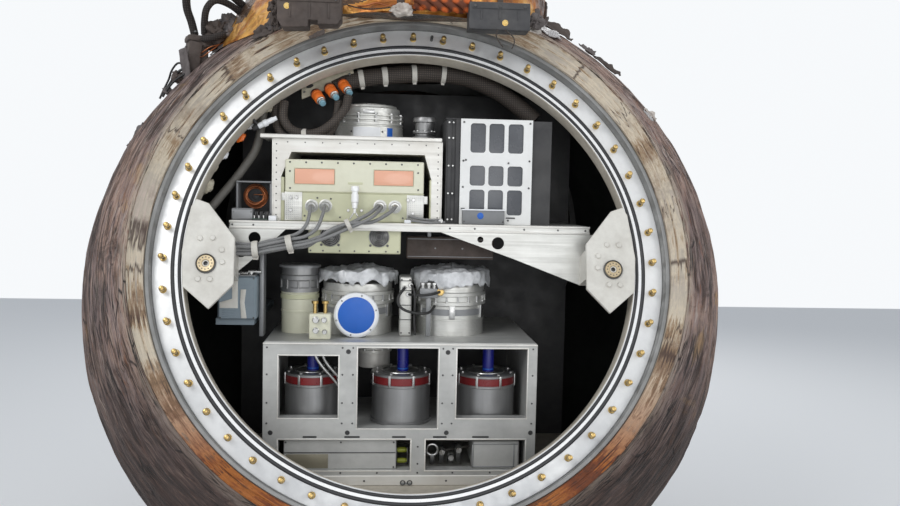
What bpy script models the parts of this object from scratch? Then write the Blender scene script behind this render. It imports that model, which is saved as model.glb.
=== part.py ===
"""Landed biological research capsule: a charred ball with one hatch open on its instrument racks.

Metres, +Z up. The open hatch faces -Y and looks up by HATCH_TILT. The floor is z = 0.
The ball rests on a flat that the landing crushed into its heat shield.
"""

import math

import bmesh
import bpy
from mathutils import Matrix, Vector

# driving sizes
BALL_R = 1.150              # outside of the heat shield
REST_R = 0.280              # crushed flat under the ball
SHELL_THICK = 0.150         # heat shield, insulation and pressure hull together
SEAM_Y = 0.050              # front and rear halves of the shell meet here
GAP = 0.0003                # clearance between neighbours
AROUND = 64                 # facets round the ball
STEP_DEG = 6.0              # facet height along a meridian, twice that inside
END_DEG = 126.0             # each half is turned from its hatch to this angle, then cut at the seam

HATCH_TILT = math.radians(18.5)
FLANGE_OUT_R = 0.785        # hatch flange
FLANGE_WIDE = 0.093
FLANGE_LIP = 0.050          # depth of the inner lip
FLANGE_ROOT = 0.081         # depth of the outer root
SEALS = (                   # name, inner and outer edge from the flange's bore
    ("seal_outer", 0.0265, 0.0370),
    ("seal_inner", 0.0070, 0.0160),
)
SEAL_PROUD = 0.003
GROOVE = 0.006
NECK_WIDE = 0.0150          # grey step round the flange
BAND_WIDE = 0.0380          # layered edge band between neck and heat shield
BAND_SINK = 0.0116          # band's outer edge below the ball's surface
BAND_RISE = 0.0380          # slope across the band
BAND_STEP = 0.0080          # band's inner edge above the neck
FACE_SINK = 0.0340          # flange face below the neck
SEAT_SINK = 0.0560          # step in the shell that the rings stand on, below the flange face
COVER_PLAY = 0.0060         # closed rear hatch inside its ring
COVER_THICK = 0.110

COLLAR_SINK = 0.160         # plane that cuts the ball's top, where the parachute collar sits
COLLAR_X = -0.050           # the collar sits a little left of the middle
COLLAR_R = 0.560
COLLAR_RISE = 0.140
COLLAR_WALL = 0.016
WELL_IN_R = 0.285           # parachute well below the collar
WELL_DEEP = 0.115

BULK_Y0, BULK_Y1 = -0.010, 0.010   # cross bulkhead: a flat panel held at its four corners
BULK_HALF_X, BULK_HALF_Z = 0.620, 0.800
SHELF_Z = 0.305             # underside of the main shelf
SHELF_SINK = 0.0718         # its front edge behind the hatch face
SHELF_PLAY = 0.117          # its ends inside the hatch bore
SHEET = 0.006               # gusset plate thickness
FRAME_DEEP = 0.040          # lower frame
DECK_Z = -0.046             # top of the lower frame
FLOOR_Z = -0.500            # cabin floor
FLOOR_THICK = 0.020
FLOOR_PLAY = 0.026          # its front edge behind the flange's root
FAN_R = 0.0280
FAN_BORE_R = 0.0330

# sizes that follow
HULL_IN_R = BALL_R - SHELL_THICK
CENTRE_Z = math.sqrt(BALL_R ** 2 - REST_R ** 2)
SHY = HULL_IN_R * (2 - math.cos(math.radians(STEP_DEG)) - math.cos(math.pi / AROUND)) + 0.0005
FLANGE_IN_R = FLANGE_OUT_R - FLANGE_WIDE
BAND_IN_R = FLANGE_OUT_R + NECK_WIDE
BAND_OUT_R = BAND_IN_R + BAND_WIDE
COVER_R = FLANGE_OUT_R - COVER_PLAY
BAND_TOP_H = math.sqrt(BALL_R ** 2 - BAND_OUT_R ** 2) - BAND_SINK
BAND_LOW_H = BAND_TOP_H - BAND_RISE
NECK_TOP_H = BAND_LOW_H - BAND_STEP
FACE_H = NECK_TOP_H - FACE_SINK
SEAT_H = FACE_H - SEAT_SINK
COLLAR_Z = BALL_R - COLLAR_SINK
COLLAR_TOP = COLLAR_Z + COLLAR_RISE
WELL_LOW_Z = COLLAR_Z - WELL_DEEP


def hatch_y(depth, z):
    """Where the plane at a height along the hatch axis passes a height z."""
    return -(depth - z * math.sin(HATCH_TILT)) / math.cos(HATCH_TILT)


SHELF_END = FLANGE_IN_R - SHELF_PLAY
SHELF = dict(x0=-SHELF_END, x1=SHELF_END, y0=hatch_y(FACE_H, SHELF_Z) + SHELF_SINK, y1=BULK_Y0 - GAP,
             z0=SHELF_Z, z1=SHELF_Z + 0.026, edge=0.008)
RACK_Y = SHELF["y0"] + 0.060         # front of the upper rack
FRAME_Y = SHELF["y0"] - 0.060        # front of the lower frame
RACK_BACK = BULK_Y0 - 0.130          # rear ends of the racks
FLOOR_FRONT = hatch_y(FACE_H - FLANGE_ROOT, FLOOR_Z) + FLOOR_PLAY

Z0 = CENTRE_Z               # heights below are from the ball's centre


def clear_file():
    for item in list(bpy.data.objects):
        bpy.data.objects.remove(item, do_unlink=True)
    for store in (bpy.data.meshes, bpy.data.materials):
        for item in list(store):
            store.remove(item)


def paint(name, colour, rough=0.55, metal=0.0):
    mat = bpy.data.materials.new("mat_" + name)
    mat.use_nodes = True
    node = mat.node_tree.nodes["Principled BSDF"]
    node.inputs["Base Color"].default_value = (*colour, 1.0)
    node.inputs["Roughness"].default_value = rough
    node.inputs["Metallic"].default_value = metal
    mat.diffuse_color = (*colour, 1.0)
    return mat


CHAR = ((0.20, 0.15, 0.13), 0.90, 0.0)
ALLOY = ((0.62, 0.62, 0.61), 0.40, 0.8)
BRIGHT = ((0.80, 0.80, 0.80), 0.28, 0.9)
RUBBER = ((0.02, 0.02, 0.02), 0.60, 0.0)
AMBER = ((0.42, 0.16, 0.05), 0.40, 0.0)
CREAM = ((0.66, 0.65, 0.52), 0.50, 0.0)
WHITE = ((0.80, 0.80, 0.78), 0.50, 0.0)
DARK = ((0.05, 0.05, 0.05), 0.60, 0.0)
GREY = ((0.25, 0.26, 0.26), 0.50, 0.2)
BLUE = ((0.01, 0.01, 0.22), 0.40, 0.0)
COPPER = ((0.45, 0.18, 0.08), 0.35, 0.8)


def finish(name, bm, look, smooth=False, origin=None, parent=None):
    """Store a mesh whose coordinates are measured from the ball's centre."""
    bmesh.ops.remove_doubles(bm, verts=bm.verts, dist=1e-6)
    bmesh.ops.recalc_face_normals(bm, faces=bm.faces)
    shift = Vector((0, 0, Z0)) if origin is None else Vector((0, 0, Z0)) - Vector(origin)
    bmesh.ops.translate(bm, verts=bm.verts, vec=shift)
    mesh = bpy.data.meshes.new(name)
    bm.to_mesh(mesh)
    bm.free()
    item = bpy.data.objects.new(name, mesh)
    bpy.context.scene.collection.objects.link(item)
    if origin is not None:
        item.location = origin
    if look is not None:
        mesh.materials.append(paint(name, *look))
    if smooth:
        for poly in mesh.polygons:
            poly.use_smooth = True
        mesh.set_sharp_from_angle(angle=math.radians(35))
    if parent is not None:
        item.parent = parent
    return item


def add_box(bm, x0, x1, y0, y1, z0, z1):
    pts = [bm.verts.new((x, y, z)) for x in (x0, x1) for y in (y0, y1) for z in (z0, z1)]
    for loop in ((0, 1, 3, 2), (4, 6, 7, 5), (0, 4, 5, 1), (2, 3, 7, 6), (0, 2, 6, 4), (1, 5, 7, 3)):
        bm.faces.new([pts[i] for i in loop])


def add_prism(bm, outline, lo, hi, frame):
    """Extrude a closed outline of local (x, y) points from height lo to hi in a frame."""
    low = [bm.verts.new(frame @ Vector((x, y, lo))) for x, y in outline]
    top = [bm.verts.new(frame @ Vector((x, y, hi))) for x, y in outline]
    bm.faces.new(low)
    bm.faces.new(top[::-1])
    n = len(outline)
    for i in range(n):
        bm.faces.new((low[i], low[(i + 1) % n], top[(i + 1) % n], top[i]))


def add_turned(bm, profile, frame, around=32):
    """Turn a closed (radius, height) profile about a frame's Z axis."""
    rings = []
    for r, h in profile:
        if r < 1e-7:
            rings.append([bm.verts.new(frame @ Vector((0, 0, h)))])
        else:
            rings.append([bm.verts.new(frame @ Vector((r * math.cos(2 * math.pi * k / around),
                                                       r * math.sin(2 * math.pi * k / around), h)))
                          for k in range(around)])
    for a, b in zip(rings, rings[1:] + rings[:1]):
        if len(a) == 1 and len(b) == 1:
            continue
        for k in range(around):
            j = (k + 1) % around
            quad = [a[k % len(a)], a[j % len(a)], b[j % len(b)], b[k % len(b)]]
            bm.faces.new(list(dict.fromkeys(quad)))


def at(x, y, z):
    return Matrix.Translation((x, y, z))


def facing(x, y, z):
    """Frame whose Z axis points to the front (-Y)."""
    return Matrix.Translation((x, y, z)) @ Matrix.Rotation(math.radians(90), 4, "X")


def hatch_frame(side):
    """Frame at the ball's centre with Z along a hatch axis: side -1 front, +1 rear."""
    c, s = math.cos(HATCH_TILT), math.sin(HATCH_TILT)
    z = Vector((0, side * c, s))
    x = Vector((-side, 0, 0))
    y = z.cross(x)
    return Matrix((x, y, z)).transposed().to_4x4()


FRONT, REAR = hatch_frame(-1), hatch_frame(1)
UPRIGHT = Matrix.Identity(4)


def box(name, look, x0, x1, y0, y1, z0, z1, chamfer=0.0):
    bm = bmesh.new()
    add_box(bm, x0, x1, y0, y1, z0, z1)
    if chamfer:
        bmesh.ops.bevel(bm, geom=bm.edges[:], offset=chamfer, segments=1, affect="EDGES", profile=0.5, material=-1)
    return finish(name, bm, look)


def turned(name, look, profile, frame, around=24):
    bm = bmesh.new()
    add_turned(bm, profile, frame, around)
    return finish(name, bm, look, smooth=True)


def cut(item, tool, how="DIFFERENCE"):
    mod = item.modifiers.new(how.lower() + "_" + tool.name, "BOOLEAN")
    mod.operation = how
    mod.solver = "EXACT"
    mod.object = tool
    return item


def as_tool(item):
    item.hide_render = True
    item.display_type = "WIRE"
    return item


def arc(radius, deg0, deg1, step=STEP_DEG):
    """Points (r, h) on a meridian from deg0 to deg1 with steps at whole multiples of step."""
    out = [deg0]
    k = math.floor(deg0 / step) + 1
    while k * step < deg1 - 0.2:
        if k * step > deg0 + 0.2:
            out.append(k * step)
        k += 1
    out.append(deg1)
    return [(radius * math.sin(math.radians(d)), radius * math.cos(math.radians(d))) for d in out]


def angle_at(radius, r):
    return math.degrees(math.asin(r / radius))


def make_shells():
    half = {}
    for side, word in ((-1, "front"), (1, "rear")):
        bm = bmesh.new()
        y0, y1 = (-2.0, SEAM_Y) if side < 0 else (SEAM_Y + GAP, 2.0)
        add_box(bm, -2.0, 2.0, y0, y1, -CENTRE_Z, COLLAR_Z)
        half[side] = as_tool(finish("tool_half_" + word, bm, None))
    bm = bmesh.new()
    r = WELL_IN_R + COLLAR_WALL + GAP
    add_turned(bm, [(0, 0.5), (r, 0.5), (r, 2.0), (0, 2.0)], at(COLLAR_X, 0, 0), AROUND)
    well = as_tool(finish("tool_well", bm, None))
    for side, word, frame in ((-1, "front", FRONT), (1, "rear", REAR)):
        edge, root = BAND_OUT_R + GAP, FLANGE_OUT_R + GAP
        outer = arc(BALL_R, angle_at(BALL_R, edge), END_DEG)
        inner = arc(HULL_IN_R, angle_at(HULL_IN_R, root), END_DEG, 2 * STEP_DEG)
        shell = turned("capsule_shell_" + word, CHAR, outer + inner[::-1] + [(root, SEAT_H), (edge, SEAT_H)],
                       frame, AROUND)
        cut(shell, half[side], "INTERSECT")
        cut(shell, well)


def make_hatch_rings():
    root, lip = FACE_H - FLANGE_ROOT, FACE_H - FLANGE_LIP
    inner_root = FLANGE_OUT_R - 0.025
    foot = SEAT_H + GAP
    profile = [(FLANGE_IN_R, lip), (FLANGE_IN_R, FACE_H - 0.003), (FLANGE_IN_R + 0.003, FACE_H)]
    for name, edge_in, edge_out in sorted(SEALS, key=lambda seal: seal[1]):
        r0, r1 = FLANGE_IN_R + edge_in, FLANGE_IN_R + edge_out
        profile += [(r0 - GAP, FACE_H), (r0 - GAP, FACE_H - GROOVE), (r1 + GAP, FACE_H - GROOVE), (r1 + GAP, FACE_H)]
        top, mid = FACE_H + SEAL_PROUD, (r0 + r1) / 2
        low = FACE_H - GROOVE + GAP
        turned(name, RUBBER, [(r0, low), (r0, top - 0.002), (mid, top), (r1, top - 0.002), (r1, low)], FRONT, AROUND)
    profile += [(FLANGE_OUT_R, FACE_H), (FLANGE_OUT_R, root), (inner_root, root), (inner_root, lip)]
    turned("hatch_flange", BRIGHT, profile, FRONT, AROUND)
    neck_in, neck_out = FLANGE_OUT_R + GAP, BAND_IN_R - GAP
    turned("neck_ring", ALLOY, [(neck_in, foot), (neck_in, NECK_TOP_H - 0.003), (neck_in + 0.003, NECK_TOP_H),
                                (neck_out, NECK_TOP_H), (neck_out, foot)], FRONT, AROUND)
    bm = bmesh.new()
    add_box(bm, -2, 2, -2, 2, COLLAR_Z, 2)
    crown = as_tool(finish("tool_crown", bm, None))
    band = turned("edge_band", AMBER, [(BAND_IN_R, foot), (BAND_IN_R, BAND_LOW_H), (BAND_OUT_R, BAND_TOP_H),
                                       (BAND_OUT_R, foot)], FRONT, AROUND)
    ring = turned("rear_hatch_ring", ALLOY, [
        (FLANGE_IN_R, lip), (FLANGE_IN_R, FACE_H), (FLANGE_OUT_R, FACE_H), (FLANGE_OUT_R, NECK_TOP_H),
        (BAND_IN_R, NECK_TOP_H), (BAND_OUT_R, BAND_TOP_H), (BAND_OUT_R, foot), (FLANGE_OUT_R, foot),
        (FLANGE_OUT_R, root), (inner_root, root), (inner_root, lip)], REAR, AROUND)
    cut(band, crown)
    cut(ring, crown)
    base, skin = FACE_H + GAP, BALL_R - COVER_THICK
    seat = COVER_R - 0.045
    outer = arc(BALL_R, STEP_DEG, angle_at(BALL_R, COVER_R))
    inner = arc(skin, 2 * STEP_DEG, angle_at(skin, seat), 2 * STEP_DEG)
    lid = turned("rear_hatch_cover", CHAR, [(0, BALL_R)] + outer + [(COVER_R, base), (seat, base)] + inner[::-1]
                 + [(0, skin)], REAR, AROUND)
    cut(lid, crown)


def make_top():
    base, out, wall = COLLAR_Z + GAP, COLLAR_R, COLLAR_WALL
    turned("parachute_well", AMBER, [
        (0, WELL_LOW_Z), (WELL_IN_R + wall, WELL_LOW_Z), (WELL_IN_R + wall, base), (out, base), (out, COLLAR_TOP),
        (out - wall, COLLAR_TOP), (out - wall, base + wall), (WELL_IN_R, base + wall),
        (WELL_IN_R, WELL_LOW_Z + wall), (0, WELL_LOW_Z + wall)], at(COLLAR_X, 0, 0), AROUND)
    bm = bmesh.new()
    add_turned(bm, [(0, 0.5), (out + GAP, 0.5), (out + GAP, 2.0), (0, 2.0)], at(COLLAR_X, 0, 0), AROUND)
    mould = as_tool(finish("tool_collar", bm, None))
    hung = (                # name, look, x from, x to, foot below the collar plane
        ("collar_box_left", ((0.10, 0.06, 0.04), 0.6, 0.0), -0.425, -0.230, 0.068),
        ("collar_box_right", ((0.06, 0.06, 0.065), 0.6, 0.0), 0.160, 0.350, 0.053),
    )
    for name, look, x0, x1, drop in hung:
        y1 = -out + 0.012
        item = box(name, look, x0, x1, y1 - 0.080, y1, COLLAR_Z - drop, COLLAR_Z + 0.030, 0.005)
        bm = bmesh.new()
        add_box(bm, x0 + 0.010, x1 - 0.010, y1 - 0.004, -out + 0.210, COLLAR_Z + 0.002, COLLAR_Z + 0.026)
        cut(item, as_tool(finish("tool_tab_" + name, bm, None)), "UNION")
        cut(item, mould)
    bm = bmesh.new()
    z_mid = COLLAR_Z - 0.115
    r_mid = math.sqrt(BALL_R ** 2 - z_mid ** 2)
    add_box(bm, -0.045, 0.045, -r_mid - 0.089, -r_mid + 0.001, z_mid - 0.085, z_mid + 0.085)
    bmesh.ops.bevel(bm, geom=bm.edges[:], offset=0.006, segments=1, affect="EDGES", profile=0.5, material=-1)
    bmesh.ops.transform(bm, matrix=Matrix.Rotation(math.radians(-69.0), 4, "Z"), verts=bm.verts)
    item = finish("side_block", bm, DARK)
    bm = bmesh.new()
    add_turned(bm, [(0, BALL_R + GAP)] + arc(BALL_R + GAP, STEP_DEG, END_DEG) + [(0, 0)], FRONT, AROUND)
    cut(item, as_tool(finish("tool_ball", bm, None)))


def make_brackets():
    plate = (               # outline on the flange plane: inwards from the bore's edge, up
        (0.028, 0.180), (0.067, 0.166), (0.151, 0.058), (0.155, -0.086), (0.085, -0.162),
        (0.005, -0.094), (-0.004, 0.013), (0.014, 0.155))
    arm = ((0.100, -0.045), (0.147, -0.045), (0.147, 0.045), (0.100, 0.045))
    bush_x, bush_y, bush_r = 0.070, -0.024, 0.026
    low = FACE_H + SEAL_PROUD + GAP
    top = low + 0.0137
    bush = ((0.007, low + 0.004), (bush_r, low + 0.004), (bush_r, top + 0.004), (bush_r - 0.002, top + 0.006),
            (bush_r - 0.005, top + 0.002), (0.013, top + 0.002), (0.011, top + 0.004), (0.007, top + 0.004))
    bm = bmesh.new()
    add_box(bm, -2.0, 2.0, SHELF["y0"] - GAP, 2.0, -2.0, 2.0)
    stop = as_tool(finish("tool_gusset_front", bm, None))
    for word, side in (("left", 1), ("right", -1)):
        bm = bmesh.new()
        add_prism(bm, [(side * (x - FLANGE_IN_R), y) for x, y in plate], low, top, FRONT)
        bmesh.ops.bevel(bm, geom=bm.edges[:], offset=0.0018, segments=1, affect="EDGES", profile=0.5, material=-1)
        item = finish("bracket_plate_" + word, bm, WHITE)
        bm = bmesh.new()
        add_prism(bm, [(side * (x - FLANGE_IN_R), y) for x, y in arm], FACE_H - 0.146, low + 0.004, FRONT)
        foot = as_tool(finish("tool_arm_" + word, bm, None))
        cut(foot, stop)
        cut(item, foot, "UNION")
        frame = FRONT @ at(side * (bush_x - FLANGE_IN_R), bush_y, 0)
        bm = bmesh.new()
        add_turned(bm, [(0, low + 0.0035), (0.0068, low + 0.0035), (0.0068, top + 0.1), (0, top + 0.1)], frame, 32)
        cut(item, as_tool(finish("tool_socket_" + word, bm, None)))
        bm = bmesh.new()
        add_turned(bm, bush, frame, 32)
        cut(item, as_tool(finish("tool_bush_" + word, bm, None)), "UNION")


def make_shelf():
    s = SHELF
    shelf = box("main_shelf", ALLOY, s["x0"], s["x1"], s["y0"], s["y1"], s["z0"], s["z1"], 0.003)
    bm = bmesh.new()
    edge = s["edge"]
    add_box(bm, s["x0"] + edge, s["x1"] - edge, s["y0"] + edge, s["y1"] - edge, s["z0"] - 0.05, s["z1"] - edge)
    cut(shelf, as_tool(finish("tool_tray", bm, None)))
    top = s["z0"] - GAP
    gussets = (             # name, side, outline and holes: from the outer end, below the top
        ("gusset_left", -1, ((0, 0), (0.192, 0), (0.112, 0.077), (0.047, 0.133), (0, 0.133)),
         ((0.096, 0.028, 0.0190), (0.054, 0.073, 0.0170))),
        ("gusset_right", 1, ((0, 0), (0.500, 0), (0.263, 0.082), (0.047, 0.163), (0, 0.163)),
         ((0.373, 0.021, 0.0100), (0.316, 0.032, 0.0200))),
    )
    for name, side, outline, holes in gussets:
        y0, end = s["y0"], s["x1"] + 0.017
        outline = [(side * (end - x), top - z) for x, z in outline]
        holes = [(side * (end - x), top - z, r) for x, z, r in holes]
        bm = bmesh.new()
        add_prism(bm, outline, -SHEET, 0.0, facing(0, y0, 0))
        item = finish(name, bm, ALLOY)
        for k, (x, z, r) in enumerate(holes):
            bm = bmesh.new()
            add_turned(bm, [(0, -0.05), (r, -0.05), (r, 0.05), (0, 0.05)], facing(x, y0, z), 24)
            cut(item, as_tool(finish("tool_%s_%d" % (name, k), bm, None)))


def make_portal():
    low, y0 = SHELF["z1"] + GAP, RACK_Y
    x0, x1, top = -0.447, 0.092, 0.594
    outline = [(x0, low), (x0, top), (x1, top), (x1, low), (x1 - 0.031, low), (x1 - 0.031, 0.472),
               (x1 - 0.054, 0.552), (x0 + 0.057, 0.552), (x0 + 0.025, 0.472), (x0 + 0.025, low)]
    bm = bmesh.new()
    add_prism(bm, outline, y0 - RACK_BACK, 0.0, facing(0, y0, 0))
    finish("portal_frame", bm, ALLOY)
    box("portal_top", ALLOY, -0.488, x1 + 0.001, y0 - 0.012, RACK_BACK, top + GAP, top + 0.013, 0.002)
    y1, seam = y0 - 0.010, 0.4240
    upper = box("control_unit_upper", CREAM, -0.4080, 0.0360, y1, y0 - GAP, seam + GAP, 0.5280, 0.003)
    bm = bmesh.new()
    add_box(bm, -0.3930, 0.0340, y0 - 0.002, RACK_BACK - 0.100, seam + GAP, 0.5280)
    cut(upper, as_tool(finish("tool_unit_body", bm, None)), "UNION")
    for k, x in enumerate((-0.3145, -0.0615)):
        bm = bmesh.new()
        add_box(bm, x - 0.065, x + 0.065, y1 - 0.02, y1 + 0.004, 0.449, 0.500)
        bmesh.ops.bevel(bm, geom=[e for e in bm.edges if abs(e.verts[0].co.y - e.verts[1].co.y) > 0.01],
                        offset=0.006, segments=2, affect="EDGES", profile=0.5, material=-1)
        cut(upper, as_tool(finish("tool_window_%d" % k, bm, None)))
    box("control_unit_lower", CREAM, -0.4080, 0.0360, y1, RACK_BACK - 0.100, low, seam, 0.003)
    drums = (               # name, centre x, centre y, radius, height
        ("drum_main", -0.146, y0 + 0.200, 0.116, 0.116),
        ("drum_small", 0.042, y0 + 0.160, 0.040, 0.078),
    )
    base = top + 0.013 + GAP
    for name, x, y, r, tall in drums:
        ribs = [(0, 0), (r, 0), (r, 0.36), (r * 0.93, 0.40), (r * 0.93, 0.52), (r, 0.55), (r, 0.63),
                (r * 0.93, 0.66), (r * 0.93, 0.90), (r * 0.80, 1.0), (0, 1.0)]
        turned(name, ALLOY, [(a, b * tall) for a, b in ribs], at(x, y, base))


def make_fans():
    y0 = SHELF["y0"] + 0.015
    y1 = y0 + 0.040
    top = SHELF["z1"] - SHELF["edge"] - GAP
    low = 0.231
    body = box("fan_housing", CREAM, -0.330, -0.036, y0, y1, low, top, 0.003)
    fans = (("left", -0.2610), ("right", -0.1055))
    zc = 0.285
    for word, x in fans:
        bm = bmesh.new()
        add_turned(bm, [(0, -0.032), (FAN_BORE_R, -0.032), (FAN_BORE_R, 0.02), (0, 0.02)], facing(x, y0, zc), 24)
        cut(body, as_tool(finish("tool_bore_" + word, bm, None)))
    for word, x in fans:
        bm = bmesh.new()
        add_turned(bm, [(0, -0.0317), (0.005, -0.0317), (0.005, -0.024), (0.013, -0.024), (0.013, -0.010),
                        (0.011, -0.008), (0, -0.008)], facing(x, y0, zc), 16)
        root = finish("fan_hub_" + word, bm, DARK, smooth=True, origin=(x, y0, zc + Z0))
        for k in range(7):
            bm = bmesh.new()
            frame = facing(x, y0, zc) @ Matrix.Rotation(2 * math.pi * k / 7, 4, "Z")
            pts = [(0.010, -0.022), (0.010, -0.0205), (FAN_R - 0.0005, -0.0205), (FAN_R - 0.0005, -0.022)]
            lows = [bm.verts.new(frame @ Vector((px, -0.007, pz))) for px, pz in pts]
            tops = [bm.verts.new(frame @ Vector((px, 0.005, pz + 0.0095))) for px, pz in pts]
            bm.faces.new(lows)
            bm.faces.new(tops[::-1])
            for i in range(4):
                bm.faces.new((lows[i], lows[(i + 1) % 4], tops[(i + 1) % 4], tops[i]))
            blade = as_tool(finish("tool_blade_%s_%d" % (word, k), bm, None))
            cut(root, blade, "UNION")


def make_right_module():
    low = SHELF["z1"] + GAP
    y0 = RACK_Y
    x0, x1, top = 0.154, 0.457, 0.673
    face = box("module_face", WHITE, x0, x1, y0, y0 + 0.012, low, top, 0.0015)
    cols = (0.186, 0.247, 0.310, 0.373)
    rows = ((0.564, 0.659), (0.457, 0.522), (0.381, 0.444))
    for i, x in enumerate(cols):
        for j, (z_lo, z_hi) in enumerate(rows):
            bm = bmesh.new()
            add_box(bm, x, x + 0.050, y0 - 0.02, y0 + 0.006, z_lo, z_hi)
            bmesh.ops.bevel(bm, geom=[e for e in bm.edges if abs(e.verts[0].co.y - e.verts[1].co.y) > 0.01],
                            offset=0.010, segments=2, affect="EDGES", profile=0.5, material=-1)
            cut(face, as_tool(finish("tool_pane_%d_%d" % (i, j), bm, None)))
    y1, back, side = y0 + 0.012 + GAP, RACK_BACK - 0.040, 0.108
    outline = [(x1 - 0.002, y1), (x1 - 0.002, back), (side, back)]
    pitch, ribs = 0.048, []
    while y1 + (len(ribs) + 1) * pitch < back - 0.010:
        ribs.append(y1 + len(ribs) * pitch)
    for y in reversed(ribs):
        outline += [(side + 0.012, y + 0.044), (side + 0.012, y + 0.028), (side, y + 0.024), (side, y)]
    bm = bmesh.new()
    add_prism(bm, outline, low, top - 0.002, UPRIGHT)
    finish("module_case", bm, DARK)


def make_left_boxes():
    low = SHELF["z1"] + GAP
    y0 = RACK_Y
    x0 = SHELF["x0"]
    frame = box("coil_box", GREY, x0 + 0.011, x0 + 0.126, y0, y0 + 0.240, low, 0.456, 0.002)
    bm = bmesh.new()
    add_box(bm, x0 + 0.018, x0 + 0.118, y0 - 0.02, y0 + 0.070, low + 0.020, 0.451)
    cut(frame, as_tool(finish("tool_coil_box", bm, None)))
    r, t = 0.0355, 0.0055
    ring = [(r + t * math.cos(a), t * math.sin(a)) for a in [2 * math.pi * k / 6 for k in range(6)]]
    deep = t * math.sin(math.radians(60)) + GAP
    turned("coil_ring", COPPER, ring, facing(x0 + 0.066, y0 + 0.070 - deep, 0.408), 24)
    box("grey_box", GREY, x0 + 0.004, x0 + 0.071, y0 - 0.040, y0 - GAP, low, 0.369, 0.003)
    front = SHELF["y0"] + 0.010
    case = box("side_case", GREY, x0 - 0.037, x0 + 0.085, front, front + 0.160, 0.014, 0.154, 0.006)
    bm = bmesh.new()
    add_box(bm, x0 - 0.045, x0 + 0.075, front + 0.020, BULK_Y0 - GAP, -0.004, 0.016)
    cut(case, as_tool(finish("tool_rail", bm, None)), "UNION")


def make_vessels():
    base = DECK_Z + 0.004 + GAP
    box("mid_deck", ALLOY, -0.455, 0.400, FRAME_Y + 0.002, BULK_Y0 - GAP, DECK_Z + GAP, DECK_Z + 0.004, 0.0)
    y_mid = FRAME_Y + 0.240
    vessels = (             # name, look, centre x, centre y, radius, rim height
        ("vessel_left", CREAM, -0.367, y_mid - 0.020, 0.058, 0.226),
        ("vessel_middle", ALLOY, -0.174, y_mid, 0.122, 0.170),
        ("vessel_right", ALLOY, 0.138, y_mid, 0.122, 0.170),
    )
    for name, look, x, y, r, tall in vessels:
        profile = [(0, 0), (r * 0.94, 0), (r * 0.94, tall * 0.58), (r, tall * 0.60), (r, tall * 0.66),
                   (r * 0.96, tall * 0.68), (r * 0.96, tall * 0.76), (r, tall * 0.78), (r, tall * 0.84),
                   (r * 0.95, tall * 0.86), (r * 0.95, tall), (0, tall)]
        turned(name, look, profile, at(x, y, base))
    for name, x, z_top in (("vessel_cover_middle", -0.174, 0.184), ("vessel_cover_right", 0.138, 0.188)):
        z0 = base + 0.170 + GAP
        r = 0.130
        lip = base + 0.170 * 0.88
        profile = [(0, z0), (0.119, z0), (0.119, lip), (r, lip), (r, z_top - 0.012), (0.110, z_top - 0.002),
                   (0.05, z_top), (0, z_top)]
        turned(name, WHITE, profile, at(x, y_mid, 0))
    box("valve_block", GREY, -0.035, 0.004, FRAME_Y + 0.120, FRAME_Y + 0.220, base, 0.155, 0.008)
    box("regulator", CREAM, -0.322, -0.254, FRAME_Y + 0.040, FRAME_Y + 0.090, base, 0.040, 0.006)
    turned("round_disc", BLUE, [(0, -0.006), (0.070, -0.006), (0.073, -0.003), (0.073, 0.003), (0.068, 0.006),
                                (0.050, 0.009), (0, 0.009)], facing(-0.1745, FRAME_Y + 0.088, base + 0.0735), 32)


def make_lower_frame():
    y0 = FRAME_Y
    x0, x1 = -0.459, 0.404
    z1, z0 = DECK_Z, -0.467
    bm = bmesh.new()
    add_prism(bm, [(x0, z0), (x1, z0), (x1, z1), (x0, z1)], -FRAME_DEEP, 0.0, facing(0, y0, 0))
    frame = finish("lower_frame", bm, ALLOY)
    bays = (                # x0, x1, z0, z1
        (-0.411, -0.226, -0.283, -0.086),
        (-0.165, 0.088, -0.316, -0.060),
        (0.148, 0.372, -0.283, -0.060),
        (-0.411, 0.004, -0.451, -0.353),
        (0.053, 0.372, -0.451, -0.353),
    )
    for k, (a, b, c, d) in enumerate(bays):
        bm = bmesh.new()
        add_box(bm, a, b, y0 - 0.1, y0 + 0.1, c, d)
        cut(frame, as_tool(finish("tool_bay_%d" % k, bm, None)))
    back = RACK_BACK - 0.020
    bars = ((x0, x0 + 0.030, z0, z1), (x1 - 0.030, x1, z0, z1), (x0 + 0.010, x1 - 0.010, -0.345, -0.323))
    for k, (a, b, c, d) in enumerate(bars):
        bm = bmesh.new()
        add_box(bm, a, b, y0 + FRAME_DEEP - 0.010, back, c, d)
        cut(frame, as_tool(finish("tool_bar_%d" % k, bm, None)), "UNION")
    rows = (                # word, centre x, radius
        ("left", -0.317, 0.092),
        ("middle", -0.025, 0.100),
        ("right", 0.257, 0.100),
    )
    low = -0.323 + GAP
    yc = y0 + FRAME_DEEP + 0.106
    for word, x, r in rows:
        turned("canister_" + word, ((0.20, 0.20, 0.21), 0.35, 0.6),
               [(0, low), (r, low), (r, low + 0.010), (r * 0.96, low + 0.014), (r * 0.96, -0.200), (r, -0.196),
                (r, -0.189), (r - 0.003, -0.189), (r - 0.003, -0.167), (r, -0.167), (r, -0.161),
                (r * 0.97, -0.158), (0, -0.158)], at(x, yc, 0))
        turned("blue_bottle_" + word, BLUE,
               [(0, -0.158 + GAP), (0.018, -0.158 + GAP), (0.018, -0.070), (0.012, -0.062), (0, -0.062)],
               at(x + 0.004, yc - 0.03, 0), 24)
    py = y0 + 0.012
    box("lower_panel", ALLOY, -0.394, -0.040, py, py + 0.200, -0.4505, -0.3555, 0.002)
    box("lower_box", GREY, 0.205, 0.355, py, py + 0.180, -0.4505, -0.3600, 0.004)


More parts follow.
